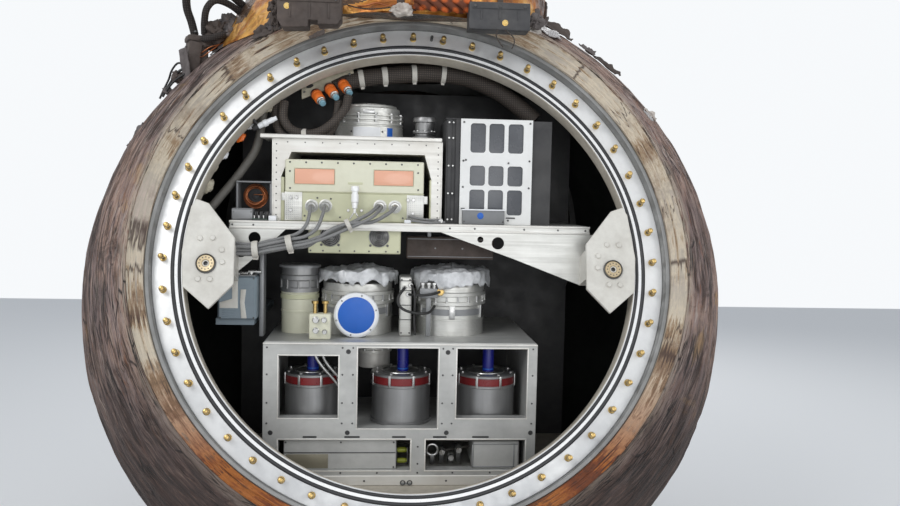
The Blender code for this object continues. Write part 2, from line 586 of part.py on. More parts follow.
def make_floor():
    bm = bmesh.new()
    r = math.sqrt((HULL_IN_R - SHY) ** 2 - (FLOOR_Z - FLOOR_THICK) ** 2)
    add_turned(bm, [(0, FLOOR_Z - FLOOR_THICK), (r, FLOOR_Z - FLOOR_THICK), (r + 0.004, FLOOR_Z), (0, FLOOR_Z)],
               UPRIGHT, AROUND)
    floor = finish("cabin_floor", bm, ((0.45, 0.40, 0.32), 0.7, 0.0))
    bm = bmesh.new()
    add_box(bm, -2, 2, FLOOR_FRONT, BULK_Y0 - GAP, -2, 2)
    cut(floor, as_tool(finish("tool_floor_span", bm, None)), "INTERSECT")
    box("frame_sill", CREAM, -0.459, 0.404, FRAME_Y - 0.004, RACK_BACK - 0.020, FLOOR_Z + GAP, -0.467 - GAP, 0.002)
    bm = bmesh.new()
    r = HULL_IN_R - GAP
    add_turned(bm, [(0, r)] + arc(r, 2 * STEP_DEG, 168.0, 2 * STEP_DEG) + [(0, -r)], FRONT, AROUND)
    hull = as_tool(finish("tool_hull", bm, None))
    wall = box("cross_bulkhead", GREY, -BULK_HALF_X, BULK_HALF_X, BULK_Y0, BULK_Y1, -BULK_HALF_Z, BULK_HALF_Z)
    cut(wall, hull, "INTERSECT")


def make_lugs():
    """Connector bracket hung behind the flange lip, with its three plugs."""
    high = FACE_H - FLANGE_LIP - GAP
    low = high - 0.040
    plate = ((-0.368, 0.566), (-0.195, 0.646), (-0.206, 0.700), (-0.371, 0.629))
    bm = bmesh.new()
    add_prism(bm, plate, low, low + 0.008, FRONT)
    item = finish("connector_bracket", bm, CREAM)
    post = ((-0.300, 0.640), (-0.260, 0.658), (-0.266, 0.672), (-0.306, 0.654))
    bm = bmesh.new()
    add_prism(bm, post, low + 0.004, high, FRONT)
    cut(item, as_tool(finish("tool_post", bm, None)), "UNION")
    aim = Vector((0.40, -0.75, 0.53)).to_track_quat("Z", "Y").to_matrix().to_4x4()   # plugs hang down and out
    for k, (x, y) in enumerate(((-0.324, 0.588), (-0.281, 0.610), (-0.238, 0.628))):
        bm = bmesh.new()
        add_turned(bm, [(0, -0.004), (0.013, -0.004), (0.013, 0.042), (0.009, 0.046), (0.009, 0.066), (0, 0.066)],
                   FRONT @ at(x, y, low + 0.006) @ aim, 16)
        cut(item, as_tool(finish("tool_plug_%d" % k, bm, None)), "UNION")


clear_file()
make_shells()
make_hatch_rings()
make_top()
make_brackets()
make_shelf()
make_portal()
make_fans()
make_right_module()
make_left_boxes()
make_vessels()
make_lower_frame()
make_floor()
make_lugs()
bpy.context.view_layer.update()
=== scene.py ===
import math

import bmesh
import bpy
from mathutils import Euler, Matrix, Vector, noise


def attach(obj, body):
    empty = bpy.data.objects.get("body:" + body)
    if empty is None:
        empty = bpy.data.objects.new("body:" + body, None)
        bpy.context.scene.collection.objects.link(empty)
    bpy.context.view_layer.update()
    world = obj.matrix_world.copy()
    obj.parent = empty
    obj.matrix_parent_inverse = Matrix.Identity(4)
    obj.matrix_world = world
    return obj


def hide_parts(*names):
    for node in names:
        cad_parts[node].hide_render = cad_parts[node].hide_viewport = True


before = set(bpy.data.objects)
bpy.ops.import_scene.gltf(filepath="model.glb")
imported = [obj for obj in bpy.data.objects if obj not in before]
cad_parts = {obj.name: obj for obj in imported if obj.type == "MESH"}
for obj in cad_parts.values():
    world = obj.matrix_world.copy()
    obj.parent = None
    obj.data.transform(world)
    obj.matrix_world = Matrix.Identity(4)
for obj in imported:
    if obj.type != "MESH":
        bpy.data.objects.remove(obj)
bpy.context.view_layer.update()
scene = bpy.context.scene
print("frame loaded")

ballHeight = 1.1153923                 # ball's centre above the ground
ballRadius = 1.150
hatchTilt = math.radians(18.5)
faceHeight = 0.6959633                 # hatch flange from the ball's centre
collarPlane = 0.990
collarX = -0.050                       # parachute collar beside the axis
weld = 1e-6                            # points nearer than this are one
capsule = "capsule"


def spot(x, y, z):
    return Matrix.Translation((x, y, z + ballHeight))


def hatchFrame(side):
    out = Vector((0, side * math.cos(hatchTilt), math.sin(hatchTilt)))
    across = Vector((-side, 0, 0))
    turn = Matrix((across, out.cross(across), out)).transposed().to_4x4()
    return spot(0, 0, 0) @ turn


frontHatch, rearHatch = hatchFrame(-1), hatchFrame(1)


def spun(degrees, axis):
    return Matrix.Rotation(math.radians(degrees), 4, axis)


def onRing(radius, degrees):
    angle = math.radians(degrees)
    return radius * math.cos(angle), radius * math.sin(angle)


def lineUp(start, end):
    # frame at start with Z pointing at end
    return Matrix.Translation(start) @ (end - start).to_track_quat("Z", "Y").to_matrix().to_4x4()


# camera and light
view = dict(sensor=36.0, lens=35.0, near=0.05, far=60.0, turn=(4.53, -3.78, 1.25), place=(-0.099, -3.350, 0.424))


def makeCamera():
    data = bpy.data.cameras.new("photoCamera")
    data.sensor_width, data.lens = view["sensor"], view["lens"]
    data.clip_start, data.clip_end = view["near"], view["far"]
    camera = bpy.data.objects.new("photoCamera", data)
    scene.collection.objects.link(camera)
    yaw, pitch, roll = (math.radians(a) for a in view["turn"])
    look = Vector((math.sin(yaw) * math.cos(pitch), math.cos(yaw) * math.cos(pitch), math.sin(pitch)))
    right = look.cross(Vector((0, 0, 1))).normalized()
    up = right.cross(look)
    side = right * math.cos(roll) + up * math.sin(roll)
    rise = up * math.cos(roll) - right * math.sin(roll)
    turn = Matrix((side, rise, -look)).transposed().to_4x4()
    camera.matrix_world = spot(*view["place"]) @ turn
    scene.camera = camera


studio = dict(floorHalf=9.0, floorColour=(0.86, 0.86, 0.85), floorRough=0.9, sky=(0.80, 0.86, 0.95), skyPower=0.55,
    backdrop=(0.93, 0.95, 0.97))
# name, place, aim, size, power
lamps = (
    ("keyLight", (-3.6, -4.6, 5.2), (0.0, -0.3, 1.3), 3.2, 150.0),
    ("fillLight", (4.6, -4.2, 3.0), (0.0, -0.2, 1.2), 4.0, 70.0),
    ("rimLight", (1.5, 5.0, 4.6), (0.0, 0.2, 1.3), 3.0, 95.0),
    ("hatchLight", (0.3, -4.2, 1.5), (0.0, -0.4, 1.2), 2.2, 20.0),
)


def makeStudio():
    bm = bmesh.new()
    bmesh.ops.create_grid(bm, x_segments=2, y_segments=2, size=studio["floorHalf"])
    mesh = bpy.data.meshes.new("studioFloor")
    bm.to_mesh(mesh)
    bm.free()
    floor = bpy.data.objects.new("studioFloor", mesh)
    scene.collection.objects.link(floor)
    look = bpy.data.materials.new("studioFloorPaint")
    look.use_nodes = True
    shader = look.node_tree.nodes["Principled BSDF"]
    shader.inputs["Base Color"].default_value = (*studio["floorColour"], 1.0)
    shader.inputs["Roughness"].default_value = studio["floorRough"]
    mesh.materials.append(look)
    world = bpy.data.worlds.new("studioWorld")
    world.use_nodes = True
    tree = world.node_tree
    light = tree.nodes["Background"]
    light.inputs["Color"].default_value = (*studio["sky"], 1.0)
    light.inputs["Strength"].default_value = studio["skyPower"]
    plain = tree.nodes.new("ShaderNodeBackground")
    plain.inputs["Color"].default_value = (*studio["backdrop"], 1.0)
    plain.inputs["Strength"].default_value = 1.0
    ray = tree.nodes.new("ShaderNodeLightPath")
    pick = tree.nodes.new("ShaderNodeMixShader")
    either, glossy = tree.nodes.new("ShaderNodeMath"), tree.nodes.new("ShaderNodeMath")
    either.operation = glossy.operation = "MAXIMUM"
    tree.links.new(ray.outputs["Is Camera Ray"], either.inputs[0])
    tree.links.new(ray.outputs["Is Transmission Ray"], either.inputs[1])
    tree.links.new(either.outputs[0], glossy.inputs[0])
    tree.links.new(ray.outputs["Is Glossy Ray"], glossy.inputs[1])
    tree.links.new(glossy.outputs[0], pick.inputs[0])
    tree.links.new(light.outputs[0], pick.inputs[1])
    tree.links.new(plain.outputs[0], pick.inputs[2])
    tree.links.new(pick.outputs[0], tree.nodes["World Output"].inputs["Surface"])
    scene.world = world
    for name, place, aim, size, power in lamps:
        data = bpy.data.lights.new(name, "AREA")
        data.shape, data.size, data.energy = "DISK", size, power
        lamp = bpy.data.objects.new(name, data)
        scene.collection.objects.link(lamp)
        lamp.location = place
        lamp.rotation_euler = (Vector(aim) - Vector(place)).to_track_quat("-Z", "Y").to_euler()
    scene.view_settings.view_transform = "Standard"


# materials
def startLook(name, rough=0.5, metal=0.0):
    look = bpy.data.materials.new(name)
    look.use_nodes = True
    tree = look.node_tree
    shader = tree.nodes["Principled BSDF"]
    shader.inputs["Roughness"].default_value = rough
    shader.inputs["Metallic"].default_value = metal
    place = tree.nodes.new("ShaderNodeTexCoord").outputs["Object"]
    return look, tree, shader, place


def stretch(tree, vector, scale, turn=(0, 0, 0), shift=(0, 0, 0)):
    node = tree.nodes.new("ShaderNodeMapping")
    node.inputs["Scale"].default_value = scale
    node.inputs["Rotation"].default_value = turn
    node.inputs["Location"].default_value = shift
    tree.links.new(vector, node.inputs["Vector"])
    return node.outputs[0]


def clouds(tree, vector, scale, detail=6.0, rough=0.55, bend=0.0):
    node = tree.nodes.new("ShaderNodeTexNoise")
    node.inputs["Scale"].default_value = scale
    node.inputs["Detail"].default_value = detail
    node.inputs["Roughness"].default_value = rough
    node.inputs["Distortion"].default_value = bend
    tree.links.new(vector, node.inputs["Vector"])
    return node.outputs["Fac"]


def cells(tree, vector, scale, feature="DISTANCE_TO_EDGE"):
    node = tree.nodes.new("ShaderNodeTexVoronoi")
    node.feature = feature
    node.inputs["Scale"].default_value = scale
    tree.links.new(vector, node.inputs["Vector"])
    return node.outputs["Distance"]


def ramp(tree, value, stops):
    node = tree.nodes.new("ShaderNodeValToRGB")
    marks = node.color_ramp.elements
    while len(marks) < len(stops):
        marks.new(0.5)
    for mark, (where, colour) in zip(marks, stops):
        mark.position = where
        mark.color = (*colour, 1.0)
    tree.links.new(value, node.inputs["Fac"])
    return node.outputs["Color"]


def remap(tree, value, low, high, toLow=0.0, toHigh=1.0):
    node = tree.nodes.new("ShaderNodeMapRange")
    for socket, number in zip(("From Min", "From Max", "To Min", "To Max"), (low, high, toLow, toHigh)):
        node.inputs[socket].default_value = number
    tree.links.new(value, node.inputs["Value"])
    return node.outputs[0]


def axesOf(tree, point):
    node = tree.nodes.new("ShaderNodeSeparateXYZ")
    tree.links.new(point, node.inputs[0])
    return node.outputs


def mathsOn(tree, how, *values):
    node = tree.nodes.new("ShaderNodeMath")
    node.operation = how
    for socket, value in zip(node.inputs, values):
        if isinstance(value, (int, float)):
            socket.default_value = value
        else:
            tree.links.new(value, socket)
    return node.outputs[0]


def lengthOf(tree, a, b):
    squares = [mathsOn(tree, "MULTIPLY", side, side) for side in (a, b)]
    return mathsOn(tree, "SQRT", mathsOn(tree, "ADD", *squares))


def coloured(tree, shader, tone):
    tree.links.new(tone, shader.inputs["Base Color"])


def mixed(tree, share, first, second, how="MIX"):
    node = tree.nodes.new("ShaderNodeMix")
    node.data_type, node.blend_type = "RGBA", how
    for socket, value in ((node.inputs[0], share), (node.inputs[6], first), (node.inputs[7], second)):
        if isinstance(value, tuple):
            socket.default_value = (*value, 1.0)
        elif isinstance(value, (int, float)):
            socket.default_value = value
        else:
            tree.links.new(value, socket)
    return node.outputs[2]


def bumped(tree, shader, height, strength, depth):
    node = tree.nodes.new("ShaderNodeBump")
    node.inputs["Strength"].default_value = strength
    node.inputs["Distance"].default_value = depth
    tree.links.new(height, node.inputs["Height"])
    tree.links.new(node.outputs[0], shader.inputs["Normal"])


def paintLook(name, colour, grime, rough=0.45, metal=0.0, grimeShare=0.35, size=5.0, grain=260.0, peel=0.10):
    look, tree, shader, place = startLook(name, rough, metal)
    broad = remap(tree, clouds(tree, place, size, 8.0, 0.62), 0.42, 0.72, 0.0, grimeShare)
    fine = remap(tree, clouds(tree, place, grain * 0.25, 3.0), 0.35, 0.75, 0.0, 0.35 * grimeShare)
    colourOut = mixed(tree, broad, colour, grime)
    colourOut = mixed(tree, fine, colourOut, grime)
    coloured(tree, shader, colourOut)
    rub = clouds(tree, place, size * 3.0, 6.0)
    tree.links.new(remap(tree, rub, 0.3, 0.7, rough - 0.10, rough + 0.14), shader.inputs["Roughness"])
    bumped(tree, shader, clouds(tree, place, grain, 2.0), peel, 0.0006)
    return look


def metalLook(name, colour, dull, rough=0.34, metal=0.9, lines=(6.0, 240.0, 240.0), marks=0.4, grimeAndShadeBelow=None):
    look, tree, shader, place = startLook(name, rough, metal)
    drawn = clouds(tree, stretch(tree, place, lines), 1.0, 4.0)
    cloudy = remap(tree, clouds(tree, place, 7.0, 7.0, 0.6), 0.40, 0.72, 0.0, marks)
    colourOut = mixed(tree, cloudy, colour, dull)
    colourOut = mixed(tree, remap(tree, drawn, 0.35, 0.8, 0.0, 0.35), colourOut, dull)
    # greyer towards the bottom: partly grime, partly painted shade
    if grimeAndShadeBelow:
        patches = mathsOn(tree, "MULTIPLY", clouds(tree, place, 5.0, 8.0, 0.65), 1.1)
        low = remap(tree, mathsOn(tree, "ADD", axesOf(tree, place)[2], patches), 1.20, 1.75, 0.80, 0.0)
        colourOut = mixed(tree, low, colourOut, grimeAndShadeBelow)
    coloured(tree, shader, colourOut)
    tree.links.new(remap(tree, drawn, 0.3, 0.7, rough - 0.08, rough + 0.14), shader.inputs["Roughness"])
    bumped(tree, shader, drawn, 0.12, 0.0004)
    return look


def aroundHatch(tree, place):
    # turns a point into its place round the hatch axis: radius, height and a unit circle
    turn = frontHatch.to_3x3().inverted()
    shift = -(turn @ Vector((0, 0, ballHeight)))
    local = stretch(tree, place, (1, 1, 1), tuple(turn.to_euler()), tuple(shift))
    x, y, z = axesOf(tree, local)
    radius = lengthOf(tree, x, y)
    return radius, z, mathsOn(tree, "DIVIDE", x, radius), mathsOn(tree, "DIVIDE", y, radius)


def ringVector(tree, place, along, across):
    radius, height, cosine, sine = aroundHatch(tree, place)
    join = tree.nodes.new("ShaderNodeCombineXYZ")
    tree.links.new(mathsOn(tree, "MULTIPLY", cosine, along), join.inputs[0])
    tree.links.new(mathsOn(tree, "MULTIPLY", sine, along), join.inputs[1])
    tree.links.new(mathsOn(tree, "MULTIPLY", mathsOn(tree, "SUBTRACT", radius, height), across), join.inputs[2])
    return join.outputs[0], radius


charTones = dict(black=(0.016, 0.011, 0.010), umber=(0.058, 0.033, 0.026), brown=(0.150, 0.088, 0.064),
    mauve=(0.260, 0.185, 0.170), rose=(0.420, 0.275, 0.215), ash=(0.600, 0.500, 0.425), rust=(0.290, 0.100, 0.030),
    cream=(0.660, 0.570, 0.440), gold=(0.450, 0.270, 0.110))


def charLook():
    t = charTones
    look, tree, shader, place = startLook("charredShield", 0.85)
    flow, radius = ringVector(tree, place, 2.6, 13.0)
    streaks = clouds(tree, flow, 1.6, 12.0, 0.66, 0.35)
    warm = ramp(tree, streaks, [(0.30, t["umber"]), (0.41, t["brown"]), (0.50, t["rose"]), (0.58, t["mauve"]),
        (0.70, t["ash"])])
    cool = ramp(tree, streaks, [(0.32, t["black"]), (0.44, t["umber"]), (0.54, t["mauve"]), (0.66, t["brown"]),
        (0.80, t["ash"])])
    patches = remap(tree, clouds(tree, place, 2.1, 9.0, 0.6, 0.4), 0.46, 0.55)
    tone = mixed(tree, patches, warm, cool)
    burnt = remap(tree, clouds(tree, place, 4.6, 12.0, 0.7, 0.8), 0.53, 0.62, 0.0, 0.85)
    tone = mixed(tree, burnt, tone, t["umber"])
    golden = remap(tree, clouds(tree, place, 3.4, 10.0, 0.68, 1.0), 0.58, 0.66, 0.0, 0.7)
    tone = mixed(tree, golden, tone, t["gold"])
    fineFlow = ringVector(tree, place, 7.0, 46.0)[0]
    grain = clouds(tree, fineFlow, 1.5, 10.0, 0.7, 0.5)
    tone = mixed(tree, remap(tree, grain, 0.52, 0.70, 0.0, 0.70), tone, t["ash"])
    tone = mixed(tree, remap(tree, grain, 0.47, 0.34, 0.0, 0.90), tone, t["umber"])
    rust = remap(tree, clouds(tree, flow, 3.1, 10.0, 0.7, 1.2), 0.57, 0.68, 0.0, 0.8)
    tone = mixed(tree, rust, tone, t["rust"])
    rise = axesOf(tree, place)[2]
    low = remap(tree, mathsOn(tree, "ADD", rise, mathsOn(tree, "MULTIPLY", streaks, 0.8)), 1.10, 1.62, 0.95, 0.0)
    sooty = ramp(tree, grain, [(0.40, t["black"]), (0.56, t["umber"]), (0.68, t["brown"]), (0.80, t["mauve"])])
    tone = mixed(tree, low, tone, sooty)
    nearRim = remap(tree, mathsOn(tree, "ADD", radius, mathsOn(tree, "MULTIPLY", grain, 0.10)), 0.890, 0.925, 0.85, 0.0)
    nearRim = mathsOn(tree, "MULTIPLY", nearRim, remap(tree, rise, 0.85, 1.45, 0.25, 1.0))
    rimTone = ramp(tree, grain, [(0.36, t["umber"]), (0.44, t["rose"]), (0.50, t["cream"]), (0.58, t["ash"]),
        (0.66, t["rose"])])
    tone = mixed(tree, nearRim, tone, rimTone)
    # long splits along the layers, and a net of short ones
    splitFlow = ringVector(tree, place, 1.5, 19.0)[0]
    ridge = mathsOn(tree, "ABSOLUTE", mathsOn(tree, "SUBTRACT", clouds(tree, splitFlow, 1.3, 5.0, 0.55, 0.3), 0.5))
    splits = remap(tree, ridge, 0.003, 0.017, 1.0, 0.0)
    splits = mathsOn(tree, "MULTIPLY", splits, remap(tree, clouds(tree, place, 3.1, 5.0), 0.42, 0.50))
    crackField = cells(tree, ringVector(tree, place, 5.0, 21.0)[0], 1.0)
    cracks = remap(tree, crackField, 0.0, 0.035, 1.0, 0.0)
    cracks = mathsOn(tree, "MULTIPLY", cracks, remap(tree, clouds(tree, place, 5.0, 5.0), 0.48, 0.56))
    cracks = mathsOn(tree, "MAXIMUM", cracks, splits)
    tone = mixed(tree, cracks, tone, t["black"])
    coloured(tree, shader, tone)
    height = mathsOn(tree, "SUBTRACT", mathsOn(tree, "ADD", grain, streaks), mathsOn(tree, "MULTIPLY", cracks, 1.4))
    bumped(tree, shader, height, 1.0, 0.009)
    return look


def strataLook():
    t = charTones
    look, tree, shader, place = startLook("layeredEdge", 0.7)
    flow = ringVector(tree, place, 3.0, 150.0)[0]
    lines = clouds(tree, flow, 1.0, 9.0, 0.68, 0.15)
    splitFlow = ringVector(tree, place, 2.2, 60.0)[0]
    ridge = mathsOn(tree, "ABSOLUTE", mathsOn(tree, "SUBTRACT", clouds(tree, splitFlow, 1.0, 1.5, 0.5, 0.0), 0.5))
    cracks = remap(tree, ridge, 0.002, 0.010, 0.85, 0.0)
    tone = ramp(tree, lines, [(0.34, t["umber"]), (0.42, (0.33, 0.22, 0.13)), (0.50, t["cream"]),
        (0.58, (0.50, 0.44, 0.36)), (0.66, t["ash"])])
    soot = remap(tree, clouds(tree, place, 6.0, 8.0, 0.65), 0.52, 0.68, 0.0, 0.7)
    tone = mixed(tree, soot, tone, t["brown"])
    low = remap(tree, axesOf(tree, place)[2], 0.78, 1.06, 1.0, 0.0)
    amber = ramp(tree, lines, [(0.36, (0.022, 0.010, 0.008)), (0.45, (0.190, 0.048, 0.012)),
        (0.51, (0.400, 0.135, 0.026)), (0.56, (0.080, 0.024, 0.010)), (0.62, (0.300, 0.090, 0.020)),
        (0.70, (0.520, 0.300, 0.120))])
    tone = mixed(tree, cracks, mixed(tree, low, tone, amber), t["umber"])
    coloured(tree, shader, tone)
    bumped(tree, shader, lines, 0.8, 0.004)
    return look


def foilLook(name, gold, amber, dark, size=9.0):
    look, tree, shader, place = startLook(name, 0.32, 0.55)
    broad = clouds(tree, place, size, 9.0, 0.62, 0.6)
    tone = ramp(tree, broad, [(0.34, dark), (0.46, amber), (0.56, gold), (0.66, amber), (0.76, dark)])
    coloured(tree, shader, tone)
    creases = cells(tree, place, size * 4.0)
    bumped(tree, shader, mathsOn(tree, "ADD", creases, broad), 0.8, 0.008)
    return look


def weaveLook(name, colour, shade, pitch=420.0, rough=0.8):
    look, tree, shader, place = startLook(name, rough)
    wave = tree.nodes.new("ShaderNodeTexWave")
    wave.inputs["Scale"].default_value = pitch / 6.0
    wave.inputs["Distortion"].default_value = 1.2
    tree.links.new(place, wave.inputs["Vector"])
    cross = tree.nodes.new("ShaderNodeTexWave")
    cross.bands_direction = "Z"
    cross.inputs["Scale"].default_value = pitch / 6.0
    cross.inputs["Distortion"].default_value = 1.0
    tree.links.new(place, cross.inputs["Vector"])
    both = mathsOn(tree, "MULTIPLY", wave.outputs["Fac"], cross.outputs["Fac"])
    tone = mixed(tree, remap(tree, both, 0.1, 0.7), shade, colour)
    tone = mixed(tree, remap(tree, clouds(tree, place, 18.0), 0.45, 0.75, 0.0, 0.4), tone, shade)
    coloured(tree, shader, tone)
    bumped(tree, shader, both, 0.5, 0.0012)
    return look


def filmLook():
    look, tree, shader, place = startLook("plasticFilm", 0.28)
    tone = ramp(tree, clouds(tree, place, 22.0, 6.0), [(0.35, (0.55, 0.56, 0.57)), (0.6, (0.86, 0.87, 0.88))])
    coloured(tree, shader, tone)
    shader.inputs["Transmission Weight"].default_value = 0.25
    shader.inputs["Coat Weight"].default_value = 0.35
    shader.inputs["Coat Roughness"].default_value = 0.15
    bumped(tree, shader, cells(tree, place, 46.0), 0.6, 0.004)
    return look


def makeLooks():
    return dict(
        char=charLook(),
        strata=strataLook(),
        hull=paintLook("hullLining", (0.055, 0.060, 0.055), (0.020, 0.020, 0.020), 0.6, grimeShare=0.6),
        # flange face greyer towards the bottom: partly grime, partly painted shade
        flange=metalLook("flangeFace", (0.80, 0.80, 0.79), (0.60, 0.60, 0.60), 0.36, 0.45, (30, 30, 30), 0.35,
            (0.40, 0.41, 0.42)),
        seal=paintLook("sealRubber", (0.018, 0.019, 0.022), (0.05, 0.05, 0.05), 0.45),
        strip=metalLook("sealStrip", (0.90, 0.90, 0.89), (0.85, 0.85, 0.85), 0.3, 0.1, (40, 40, 40), 0.2),
        neck=metalLook("neckGrey", (0.27, 0.27, 0.265), (0.15, 0.15, 0.145), 0.48, 0.5, (30, 30, 30), 0.7),
        brass=metalLook("studBrass", (0.62, 0.44, 0.17), (0.25, 0.17, 0.08), 0.3, 0.95, (60, 60, 60), 0.5),
        steel=metalLook("screwSteel", (0.55, 0.55, 0.54), (0.25, 0.25, 0.25), 0.3, 0.95, (60, 60, 60), 0.4),
        darkSteel=metalLook("darkSteel", (0.12, 0.12, 0.12), (0.05, 0.05, 0.05), 0.4, 0.8, (60, 60, 60), 0.4),
        bracket=paintLook("bracketPaint", (0.70, 0.68, 0.62), (0.40, 0.37, 0.32), 0.42, grimeShare=0.55, size=9.0),
        bronze=metalLook("bushBronze", (0.60, 0.50, 0.33), (0.30, 0.22, 0.13), 0.35, 0.8, (60, 60, 60), 0.5),
        alloy=metalLook("rackAlloy", (0.66, 0.66, 0.63), (0.40, 0.39, 0.36), 0.38, 0.65, (4, 160, 160), 0.45),
        portal=metalLook("portalAlloy", (0.76, 0.75, 0.71), (0.55, 0.51, 0.45), 0.42, 0.35, (4, 90, 90), 0.5),
        cream=paintLook("creamEnamel", (0.72, 0.71, 0.56), (0.50, 0.48, 0.34), 0.38, grimeShare=0.3, size=7.0),
        creamDeep=paintLook("creamEnamelDeep", (0.60, 0.60, 0.41), (0.40, 0.39, 0.25), 0.4, grimeShare=0.3, size=7.0),
        white=paintLook("moduleWhite", (0.80, 0.80, 0.78), (0.58, 0.57, 0.53), 0.36, grimeShare=0.25, size=8.0),
        pane=paintLook("panePlastic", (0.10, 0.105, 0.115), (0.05, 0.05, 0.055), 0.25),
        black=paintLook("blackPaint", (0.022, 0.022, 0.024), (0.060, 0.058, 0.055), 0.5, grimeShare=0.5),
        grey=paintLook("greyEnamel", (0.20, 0.205, 0.21), (0.11, 0.11, 0.11), 0.42, grimeShare=0.4),
        blueGrey=paintLook("blueGreyEnamel", (0.24, 0.30, 0.34), (0.14, 0.16, 0.18), 0.42, grimeShare=0.35),
        greyPlate=paintLook("greyPlate", (0.27, 0.275, 0.28), (0.16, 0.16, 0.16), 0.4, 0.3, grimeShare=0.3),
        tank=metalLook("canisterMetal", (0.30, 0.30, 0.30), (0.18, 0.18, 0.18), 0.36, 0.7, (60, 60, 4), 0.4),
        red=paintLook("redBand", (0.200, 0.010, 0.012), (0.090, 0.006, 0.007), 0.35, grimeShare=0.4, size=12.0),
        blue=paintLook("blueEnamel", (0.010, 0.115, 0.50), (0.006, 0.06, 0.28), 0.35, grimeShare=0.25),
        deepBlue=paintLook("deepBlueEnamel", (0.008, 0.012, 0.22), (0.004, 0.006, 0.10), 0.3, grimeShare=0.3),
        whiteRim=paintLook("whiteRim", (0.82, 0.83, 0.84), (0.55, 0.56, 0.58), 0.4, grimeShare=0.25),
        window=paintLook("salmonWindow", (0.83, 0.44, 0.30), (0.72, 0.36, 0.24), 0.12, grimeShare=0.25, grain=40.0,
            peel=0.0),
        copper=metalLook("windingCopper", (0.46, 0.165, 0.065), (0.16, 0.05, 0.025), 0.34, 0.8, (300, 300, 300), 0.6),
        orange=paintLook("orangeSleeve", (0.80, 0.17, 0.02), (0.40, 0.08, 0.02), 0.35, grimeShare=0.35, size=14.0),
        foil=foilLook("goldFoil", (0.74, 0.40, 0.10), (0.42, 0.145, 0.028), (0.060, 0.024, 0.013), 7.0),
        darkFoil=foilLook("burntFoil", (0.17, 0.10, 0.06), (0.07, 0.045, 0.035), (0.02, 0.016, 0.014), 14.0),
        burnt=paintLook("burntBox", (0.055, 0.042, 0.036), (0.13, 0.10, 0.085), 0.75, grimeShare=0.6, size=12.0,
            peel=0.5),
        boxBlack=paintLook("boxBlack", (0.040, 0.040, 0.043), (0.10, 0.095, 0.09), 0.6, grimeShare=0.5, size=14.0,
            peel=0.4),
        lacing=weaveLook("orangeLacing", (0.58, 0.115, 0.018), (0.12, 0.032, 0.012), 54.0),
        tape=weaveLook("tieTape", (0.82, 0.80, 0.74), (0.55, 0.52, 0.46), 700.0, 0.6),
        braid=weaveLook("braidedSleeve", (0.46, 0.46, 0.45), (0.13, 0.13, 0.13), 900.0, 0.4),
        blackHose=weaveLook("blackHose", (0.035, 0.034, 0.034), (0.012, 0.012, 0.012), 500.0, 0.5),
        brownWrap=weaveLook("brownWrap", (0.085, 0.066, 0.052), (0.030, 0.024, 0.020), 260.0, 0.75),
        burntCloth=weaveLook("burntCloth", (0.060, 0.048, 0.042), (0.018, 0.015, 0.014), 260.0, 0.9),
        silverCloth=weaveLook("silverCloth", (0.66, 0.65, 0.64), (0.34, 0.32, 0.31), 260.0, 0.45),
        liner=paintLook("linerBeige", (0.46, 0.42, 0.35), (0.22, 0.19, 0.15), 0.7, grimeShare=0.6, size=9.0),
        film=filmLook(),
        beige=paintLook("agedBeige", (0.52, 0.48, 0.37), (0.22, 0.18, 0.12), 0.6, grimeShare=0.7, size=16.0),
        tubeGrey=paintLook("tubeGrey", (0.105, 0.098, 0.085), (0.050, 0.046, 0.040), 0.55, grimeShare=0.5, size=20.0),
        cap=paintLook("plugCap", (0.110, 0.020, 0.012), (0.040, 0.012, 0.010), 0.28, grimeShare=0.4),
        tipBlue=paintLook("tipBlue", (0.20, 0.38, 0.46), (0.07, 0.14, 0.18), 0.35),
        olive=paintLook("olivePlate", (0.225, 0.205, 0.150), (0.130, 0.115, 0.080), 0.4, 0.2, grimeShare=0.4),
        ashGrey=paintLook("ashGrey", (0.155, 0.135, 0.130), (0.040, 0.032, 0.030), 0.85, grimeShare=0.8, size=22.0,
            peel=0.6),
        paleCrust=paintLook("paleCrust", (0.640, 0.590, 0.530), (0.210, 0.155, 0.130), 0.8, grimeShare=0.8, size=24.0,
            peel=0.7),
        board=paintLook("boardGreen", (0.030, 0.070, 0.045), (0.02, 0.03, 0.02), 0.4),
        deck=metalLook("deckAlloy", (0.52, 0.52, 0.50), (0.33, 0.33, 0.32), 0.46, 0.4, (9, 26, 26), 0.8),
        gold=metalLook("goldPlate", (0.80, 0.58, 0.22), (0.40, 0.27, 0.10), 0.25, 0.95, (60, 60, 60), 0.4),
        yellowGreen=paintLook("fuseYellow", (0.45, 0.50, 0.05), (0.20, 0.22, 0.04), 0.4),
    )


makeCamera()
makeStudio()
looks = makeLooks()
print("camera, light and materials made")


# shapes
def carry(bm, matrix):
    bmesh.ops.transform(bm, matrix=matrix, verts=bm.verts)


def slide(bm, x, y, z):
    bmesh.ops.translate(bm, vec=(x, y, z), verts=bm.verts)


def rounded(bm, edge, segments):
    if edge:
        bmesh.ops.bevel(bm, geom=bm.edges[:], offset=edge, offset_type="OFFSET", segments=segments, profile=0.5,
            affect="EDGES", material=-1)
    return bm


def block(x0, x1, y0, y1, z0, z1, edge=0.0, segments=2):
    bm = bmesh.new()
    bmesh.ops.create_cube(bm, size=1.0)
    bmesh.ops.scale(bm, vec=(x1 - x0, y1 - y0, z1 - z0), verts=bm.verts)
    slide(bm, (x0 + x1) / 2, (y0 + y1) / 2, (z0 + z1) / 2)
    return rounded(bm, edge, segments)


